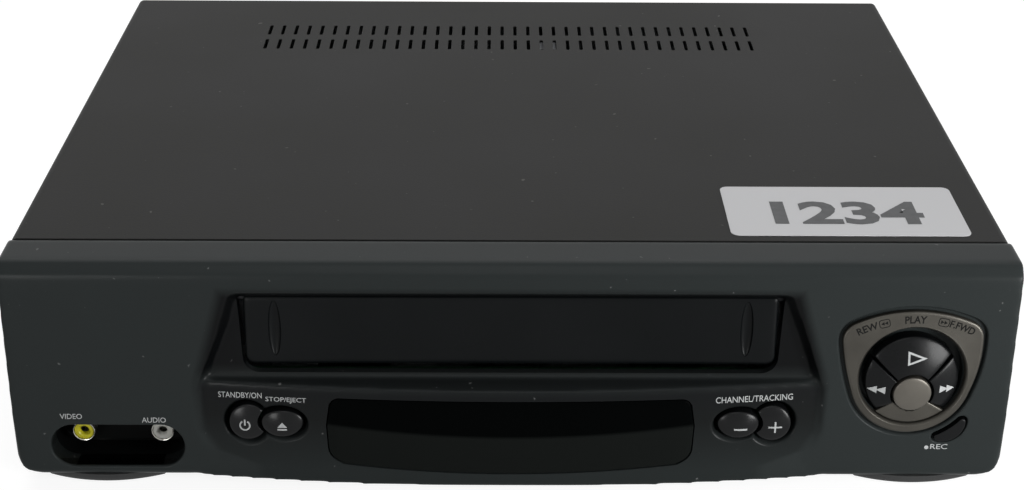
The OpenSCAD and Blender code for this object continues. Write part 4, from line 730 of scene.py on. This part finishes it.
# Painted reflection: paler below the line, almost black above it
painted_reflection = add_node(tree, "ShaderNodeValToRGB", {"Fac": step.outputs[0]}, [(0, paint("#151716")), (1, paint("#030404"))])
tree.links.new(painted_reflection.outputs[0], shader.inputs["Base Color"])
finish_piece(window, smoked, "root", "display_window")

# Keys on the lower front
# Two pairs of glossy domed keys, round and oval, the oval one biting into its neighbour.
# They are moulded in black, with their signs printed in pale grey.
OVAL_X, OVAL_Z, OVAL_WIDE, OVAL_HIGH = 82.5, 28.0, 7.7, 5.1
ROUND_X, ROUND_Z, ROUND_R = 94.9, 27.8, 6.9
BITE_WIDE, BITE_HIGH = 8.9, 6.3  # half sizes of the oval key with its clearance
KEY_Z, PROUD = 28, 1.5  # middle of the keys, and how far they stand out
SKIRT = 6.8
STEM_Z, STEM_END = 27.9, -129.3
INK_UNDER, INK_OVER = 0.12, -0.09  # a printed sign reaches from under the surface to just over it


def drawn_in(name, outline, steps, where):
    """A piece of loops: an outline drawn in to each step's share of its size, at its depth behind a surface."""
    cx = sum(x for x, _ in outline) / len(outline)
    cz = sum(z for _, z in outline) / len(outline)
    return loft(name, [[where(cx + (x - cx) * k, drop, cz + (z - cz) * k) for x, z in outline] for k, drop in steps])


def crown(name, outline, skirt, where):
    """A key: its outline with a straight skirt, a rounded edge and a domed top."""
    rounding = [(1, skirt), (1, 0.55), (0.985, 0.24), (0.955, 0.07), (0.91, 0)]
    return drawn_in(name, outline, rounding + [(k, 0) for k in (0.8, 0.68, 0.55, 0.42, 0.28, 0.14)], where)


def stem(piece, x, z, near, far):
    """Adds the round stem that reaches a key's switch."""
    join(piece, turned("stem", x, z, [(2, near), (2, far - 0.4), (1.6, far)]))


def decal(name, outline, where, solid=True):
    """A printed sign: its outline laid on a surface, filled towards its middle."""
    filling = [(k, INK_OVER) for k in (0.66, 0.33, 0.08)] if solid else []
    return drawn_in(name, outline, [(1, INK_UNDER), (1, INK_OVER)] + filling, where)


def walk(corners, count=6):
    """The corners of an outline, with more points along its sides."""
    ends = corners[1:] + corners[:1]
    return [point for start, end in zip(corners, ends) for point in [start] + between(start, end, count)]


def moved(outline, x, z, wide=1):
    """A sign's outline, set at its place, and widened or turned round."""
    return [(x + u * wide, z + w) for u, w in outline]


def oval_outline(side):
    turns = [2 * math.pi * i / 72 for i in range(72)]
    return [(OVAL_X * side + OVAL_WIDE * math.cos(t), OVAL_Z + OVAL_HIGH * math.sin(t)) for t in turns]


def round_outline(side):
    """A disc with the oval key's clearance bitten out of it."""
    points = []
    for i in range(72):
        t = 2 * math.pi * i / 72
        r = ROUND_R
        x, z = ROUND_X * side + r * math.cos(t), ROUND_Z + r * math.sin(t)
        while r > 1 and math.hypot((x - OVAL_X * side) / BITE_WIDE, (z - OVAL_Z) / BITE_HIGH) < 1:
            r -= 0.02
            x, z = ROUND_X * side + r * math.cos(t), ROUND_Z + r * math.sin(t)
        points.append((x, z))
    return points


def on_dome(cx, radius):
    """Points on a key's dome, which stands proud of the bowed front and leans with it."""
    def place_on(x, drop, z):
        sunk = radius - math.sqrt(radius ** 2 - (x - cx) ** 2 - (z - KEY_Z) ** 2)
        return x, bow_y(cx, z) - PROUD + sunk + drop, z
    return place_on


# Polished ABS: deep black, with the lamps as small soft highlights on the domes
key_gloss, shader = start_finish("polished_black_abs", "#0b0c0d", 0.2, specular=0.16)
place = grain(shader, 1.2, 0.004)
tone(shader, place, 5, 0.2, 0.28, "Roughness")

# Pad-printed ink: thin, matt and pale grey
legend_ink, shader = start_finish("pale_grey_print", "#a2a4a4", 0.55)
place = grain(shader, 0.3, 0.005)
tone(shader, place, 2, "#9a9c9c", "#acaeae")

ring_sign = arc(0, 0, 2.05, 60, -240, 40) + arc(0, 0, 1.5, -240, 60, 40)
bar_sign = walk([(-0.28, 2.3), (0.28, 2.3), (0.28, 0), (-0.28, 0)], 3)
eject_signs = [walk([(-1.75, -0.3), (1.75, -0.3), (0, 1.7)]), walk(box_outline(-1.75, -1.4, 1.75, -0.8))]
minus_sign = walk(box_outline(-2.4, -0.35, 2.4, 0.35), 8)
plus_sign = walk([(2.5, 0.3), (0.3, 0.3), (0.3, 2.2), (-0.3, 2.2), (-0.3, 0.3), (-2.5, 0.3), (-2.5, -0.3),
                  (-0.3, -0.3), (-0.3, -2.2), (0.3, -2.2), (0.3, -0.3), (2.5, -0.3)], 3)
# Each key: the middle and radius of its dome, its outline, the places of its stem and signs, and the signs
for name, cx, radius, outline, stem_x, sign_place, signs in (
    ("power_key", -95.2, 22, round_outline(-1), -97.2, (-96.0, 27.1), [ring_sign, bar_sign]),
    ("eject_key", -82.6, 16, oval_outline(-1), -82.6, (-82.4, 27.3), eject_signs),
    ("channel_down_key", 82.6, 16, oval_outline(1), 82.6, (83.3, 26.6), [minus_sign]),
    ("channel_up_key", 95.2, 22, round_outline(1), 97.2, (96.0, 26.8), [plus_sign]),
):
    dome = on_dome(cx, radius)
    key = crown(name, outline, SKIRT, dome)
    stem(key, stem_x, STEM_Z, bow_y(cx, STEM_Z) + 4.5, STEM_END)
    finish_piece(key, key_gloss, name, name)
    for i, sign in enumerate(signs):
        mark = decal(f"{name}_sign_{i}", moved(sign, *sign_place), dome, solid=sign is not ring_sign)
        finish_piece(mark, legend_ink, name)

# Transport trim and its keys
# A pressed plate sprayed warm silver, with a bevelled ring round three dark keys and a silver one.
# The plate catches the light on its edges, and its words are printed in black.
RING_STEM_END = -129.4
KEY_IN, KEY_OUT = 7.8, 16.9  # inner and outer radius of the three dark keys
TRIM_STEPS = [("edge", -0.2, 1.65), ("edge", 0, 1.4), ("edge", 0, -0.25), ("edge", -0.2, -0.55),
              ("edge", -0.6, -0.76), ("edge", -1.1, -0.8), ("ring", 20.3, -0.8), ("ring", 20.0, -0.85),
              ("ring", 19.75, -0.7), ("ring", 19.35, -0.1), ("ring", 19.1, 0.35), ("ring", 19.0, 1.65)]


def ring_loops(steps):
    """Loops from the plate's outline in to its ring: ('edge', growth) or ('ring', radius), each at a depth."""
    loops = []
    turns = [math.atan2(h, x) for x, h in trim_outline(0)]
    for kind, size, depth in steps:
        if kind == "edge":
            loops.append([on_ring(x, depth, h) for x, h in trim_outline(size)])
        else:
            loops.append([on_ring(HOLE[0] + size * math.cos(t), depth, HOLE[1] + size * math.sin(t)) for t in turns])
    return loops


def sector_outline(start, end, inner, outer, middle=(0.5, -1.2)):
    """A sector seen from the silver key's middle. Its outer circle has a middle of its own."""
    rim = []
    away = (middle[0] - HUB[0], middle[1] - HUB[1])
    for i in range(29):
        t = math.radians(start + (end - start) * i / 28)
        along = away[0] * math.cos(t) + away[1] * math.sin(t)
        r = along + math.sqrt(along ** 2 - away[0] ** 2 - away[1] ** 2 + outer ** 2)
        rim.append((HUB[0] + r * math.cos(t), HUB[1] + r * math.sin(t)))
    near = arc(*HUB, inner, end, start, 18)
    return rim + between(rim[-1], near[0], 6) + near + between(near[-1], rim[0], 6)


trim = loft("transport_trim", ring_loops(TRIM_STEPS), caps=False)
join(trim, crown("sector", sector_outline(212.5, 329, 7.7, 18.8, HOLE), 5.6,
                 lambda x, drop, h: on_ring(x, 0.1 + drop, h)))
# Sprayed silver: a warm grey metal with a blurred shine. The key is a little paler than the plate.
silver = {}
for name, low, high in (("warm_silver_plate", "#3b3935", "#44423d"), ("warm_silver_key", "#524f4a", "#5b5852")):
    silver[name], shader = start_finish(name, low, 0.4, metallic=0.75, specular=0.3)
    place = grain(shader, 0.25, 0.004)
    tone(shader, place, 14, low, high)
    tone(shader, place, 9, 0.34, 0.44, "Roughness")
finish_piece(trim, silver["warm_silver_plate"], "root", "transport_trim")


def on_key(radius, out):
    """Points on the ring's domed keys, which stand out from the face in their middle."""
    return lambda x, drop, h: on_ring(x, radius - math.sqrt(radius ** 2 - x ** 2 - (h + 2) ** 2) - out + drop, h)


def ring_stem(key, x, depth, rise):
    """The stem of a key in or beside the ring, back to its switch."""
    x, near, z = on_ring(x, depth, rise)
    stem(key, x, z, near, RING_STEM_END)


def outline_decal(name, outer, inner, where, under, over):
    """A sign printed in outline: a band between two loops, laid on a surface."""
    steps = ((outer, under), (outer, over), (inner, over), (inner, under))
    return loft(name, [[where(x, depth, z) for x, z in loop] for loop, depth in steps], caps=False)


# Satin ABS: the same black as the other keys, and a little duller
key_satin, shader = start_finish("satin_black_abs", "#0a0b0c", 0.26, specular=0.12)
place = grain(shader, 1.2, 0.004)
tone(shader, place, 8, 0.24, 0.32, "Roughness")
arrow = [(0, 1.5), (3.3, 0), (0, -1.5)]
ring_dome = on_key(42, 2.4)
for name, start, end, foot, signs in (
    ("play_key", 47, 136, (0, 9), []),
    ("rewind_key", 139.5, 210.5, (-12, -2), [moved(arrow, -9.2, -4.6, -1), moved(arrow, -12.2, -4.6, -1)]),
    ("fast_forward_key", -29, 43.5, (12, -2), [moved(arrow, 10.4, -4.2), moved(arrow, 13.0, -4.2, 0.9)]),
):
    key = crown(name, sector_outline(start, end, KEY_IN, KEY_OUT), 4.2, ring_dome)
    ring_stem(key, foot[0], 1.0, foot[1])
    finish_piece(key, key_satin, name, name)
    for i, sign in enumerate(signs):
        finish_piece(decal(f"{name}_sign_{i}", walk(sign), ring_dome), legend_ink, name)
outer, inner = [moved(walk(corners, 10), 1.1, 8.1) for corners in (
    [(-3.2, 2.6), (3.8, 0), (-3.2, -2.6)], [(-2.45, 1.6), (1.9, 0), (-2.45, -1.6)])]
finish_piece(outline_decal("play_key_sign", outer, inner, ring_dome, INK_UNDER, INK_OVER), legend_ink, "play_key")

centre = crown("centre_key", circle(*HUB, 6.9, 72), 7.0, on_key(40, 2.8))
ring_stem(centre, 0, 4.6, -4.2)
finish_piece(centre, silver["warm_silver_key"], "centre_key", "centre_key")

record = crown("record_key", record_outline(0), 5.5, lambda x, drop, h: on_ring(x, drop - 0.9, h))
ring_stem(record, 15.5, 4.6, -20)
finish_piece(record, key_satin, "record_key", "record_key")

# Cassette flap
# A sprung lid of thin black plastic, hung on two pins behind its top edge, with a finger groove near each end.
# Its edges are rolled back, and its satin is so dark that only the grooves and edges show in it.
PIN_Y, PIN_Z = -127.163, 73.4
FLAP_FACE = -1.92  # how far the lid's face lies in front of its pins
FLAP_STEPS = [(0.3, 0.3), (0, 0.1), (0, -0.5), (0.3, -1.25), (0.8, -1.65), (1.5, -1.83), (2.6, -1.9), (6, FLAP_FACE)]
GROOVE_X, GROOVE_RISE = 84.5, -11.6
GROOVE_SIZE = (2.3, 1.5, 10.8)  # half width, depth and half height of a groove


def on_flap(u, d, w):
    """A point given across, into and up the flap, measured from its pins."""
    return u, PIN_Y + d * LEAN_COS + w * LEAN_SIN, PIN_Z - d * LEAN_SIN + w * LEAN_COS


def flap_outline(inset):
    half, low, top = 95.5 - inset, inset - 26, 1 - inset
    return both_sides(arc(half - 1.2, top - 1.2, 1.2, 90, 0, 5) + arc(half - 3.2, low + 3.2, 3.2, 0, -90, 8))


flap = loft("cassette_flap", [[on_flap(u, d, w) for u, w in flap_outline(inset)] for inset, d in FLAP_STEPS])
for s in (-1, 1):
    deselect()
    bpy.ops.mesh.primitive_uv_sphere_add(segments=48, ring_count=24, radius=0.01)
    groove = bpy.context.object
    ball = [[c * 100 * size for c, size in zip(point.co, GROOVE_SIZE)] for point in groove.data.vertices]
    set_points(groove, [on_flap(s * GROOVE_X + u, d + FLAP_FACE, w + GROOVE_RISE) for u, d, w in ball])
    combine(flap, groove, "DIFFERENCE")
    pin = [[on_flap(s * u, w, h) for w, h in circle(0, 0, r, 24)] for u, r in ((94, 1.2), (98.8, 1.2), (99.3, 0.9))]
    join(flap, loft("pin", pin))
flap_black, shader = start_finish("satin_black_lid", "#08090a", 0.24, specular=0.08)
place = grain(shader, 2.0, 0.004)
tone(shader, place, 40, "#07090a", "#0b0d0e")
tone(shader, place, 25, 0.26, 0.38, "Roughness")
finish_piece(flap, flap_black, "flap", "cassette_flap")

# Printed words
# Plain words for what each key and socket does, pad-printed in pale grey, and in black on the silver plate.
# The ink is thin and matt, and it lies on the moulding.
ARC_R, ARC_RISE = 46.2, -23.1  # radius and middle of the arc that the plate's words follow
PLATE_DEPTH = -0.8  # how far the plate stands out from the face
FINE, PLAIN, STRONG, HEAVY = 0.004, 0.006, 0.02, 0.035  # how much the strokes of a word are thickened
WORD_OVER = -0.06  # how far the ink lies over the surface


def lettering(name, words, start, end, base, height, where, ink, bold, rise=0.0):
    """Words fitted between two places across, on a baseline that may rise, and laid on a surface."""
    deselect()
    bpy.ops.object.text_add()
    made = bpy.context.object
    made.data.body = words
    made.data.resolution_u = 3
    made.data.offset = bold
    bpy.ops.object.convert(target="MESH")
    made = bpy.context.object
    made.name = name
    flat = [(point.co.x, point.co.y) for point in made.data.vertices]
    left, low = min(x for x, _ in flat), min(y for _, y in flat)
    wide, tall = max(x for x, _ in flat) - left, max(y for _, y in flat) - low
    set_points(made, [where(start + (x - left) * (end - start) / wide, WORD_OVER,
                            base + (y - low) * height / tall + rise * (x - left) / wide) for x, y in flat])
    finish_piece(made, ink, "root")


def on_arc(x, depth, h):
    """Along the arc over the ring: distance from its top, and height over its line."""
    t = x / ARC_R
    return on_ring((ARC_R + h) * math.sin(t), depth + PLATE_DEPTH, ARC_RISE + (ARC_R + h) * math.cos(t))


black_ink, shader = start_finish("black_print", "#0c0c0b", 0.6, specular=0.1)
grain(shader, 0.3, 0.005)
lettering("power_word", "STANDBY/ON", -105.5, -89.6, 36.7, 2.2, on_bow, legend_ink, FINE, 0.5)
lettering("eject_word", "STOP/EJECT", -88.3, -73.5, 35.7, 2.3, on_bow, legend_ink, FINE, 0.2)
lettering("channel_word", "CHANNEL/TRACKING", 73.9, 102.1, 36.5, 2.4, on_bow, legend_ink, FINE)
lettering("video_word", "VIDEO", -163, -155, 28.4, 2.1, on_lean, legend_ink, PLAIN)
lettering("audio_word", "AUDIO", -133.5, -124.8, 27.0, 2.1, on_lean, legend_ink, PLAIN)
lettering("record_word", "REC", 153.6, 159.8, 16.9, 2.1, on_lean, legend_ink, PLAIN)
finish_piece(decal("record_dot", circle(152.2, 17.6, 0.75, 24), on_lean), legend_ink, "root")
lettering("rewind_word", "REW", -21.8, -14.2, -1.25, 2.8, on_arc, black_ink, STRONG)
lettering("play_word", "PLAY", -4.5, 3.2, -1.25, 2.9, on_arc, black_ink, STRONG)
lettering("forward_word", "F.FWD", 11.8, 21.3, -1.25, 2.8, on_arc, black_ink, STRONG)

# Boxed double arrows beside two of the words: which way they point, and the middle of each box
BOX_X, BOX_Z, BOX_RISE = 1.0, 0.65, 0.1  # middles of its rounded corners, and its height over the line
for way, middle in ((-1, -11.7), (1, 9.5)):
    outer, inner = [[(middle + sx * BOX_X + u, sy * BOX_Z + BOX_RISE + w)
                     for sx, sy, turn in ((1, 1, 0), (-1, 1, 90), (-1, -1, 180), (1, -1, 270))
                     for u, w in arc(0, 0, r, turn, turn + 90, 4)] for r in (1.0, 0.72)]
    finish_piece(outline_decal("search_sign", outer, inner, on_arc, 0.1, -0.07), black_ink, "root")
    for shift in (-1.15, 0.1):
        tip = [(middle + way * (shift + u), BOX_RISE + w) for u, w in ((0, 0.7), (1.15, 0), (0, -0.7))]
        finish_piece(decal("search_arrow", walk(tip, 3), on_arc), black_ink, "root")

# Stock number
# Four large digits printed on the sticker in dark grey, slightly soft at their edges.
# The ink is matt beside the sticker's coating.


def on_label(x, depth, y):
    """A point on the sticker, given by its depth under the paper's face."""
    return x, y, 89.2 - depth


digit_ink, shader = start_finish("grey_printed_digits", "#3c3d3f", 0.6)
place = grain(shader, 0.3, 0.005)
tone(shader, place, 3, "#37383a", "#454648")
lettering("stock_number", "1234", 97, 153, -100.1, 18.9, on_label, digit_ink, HEAVY)
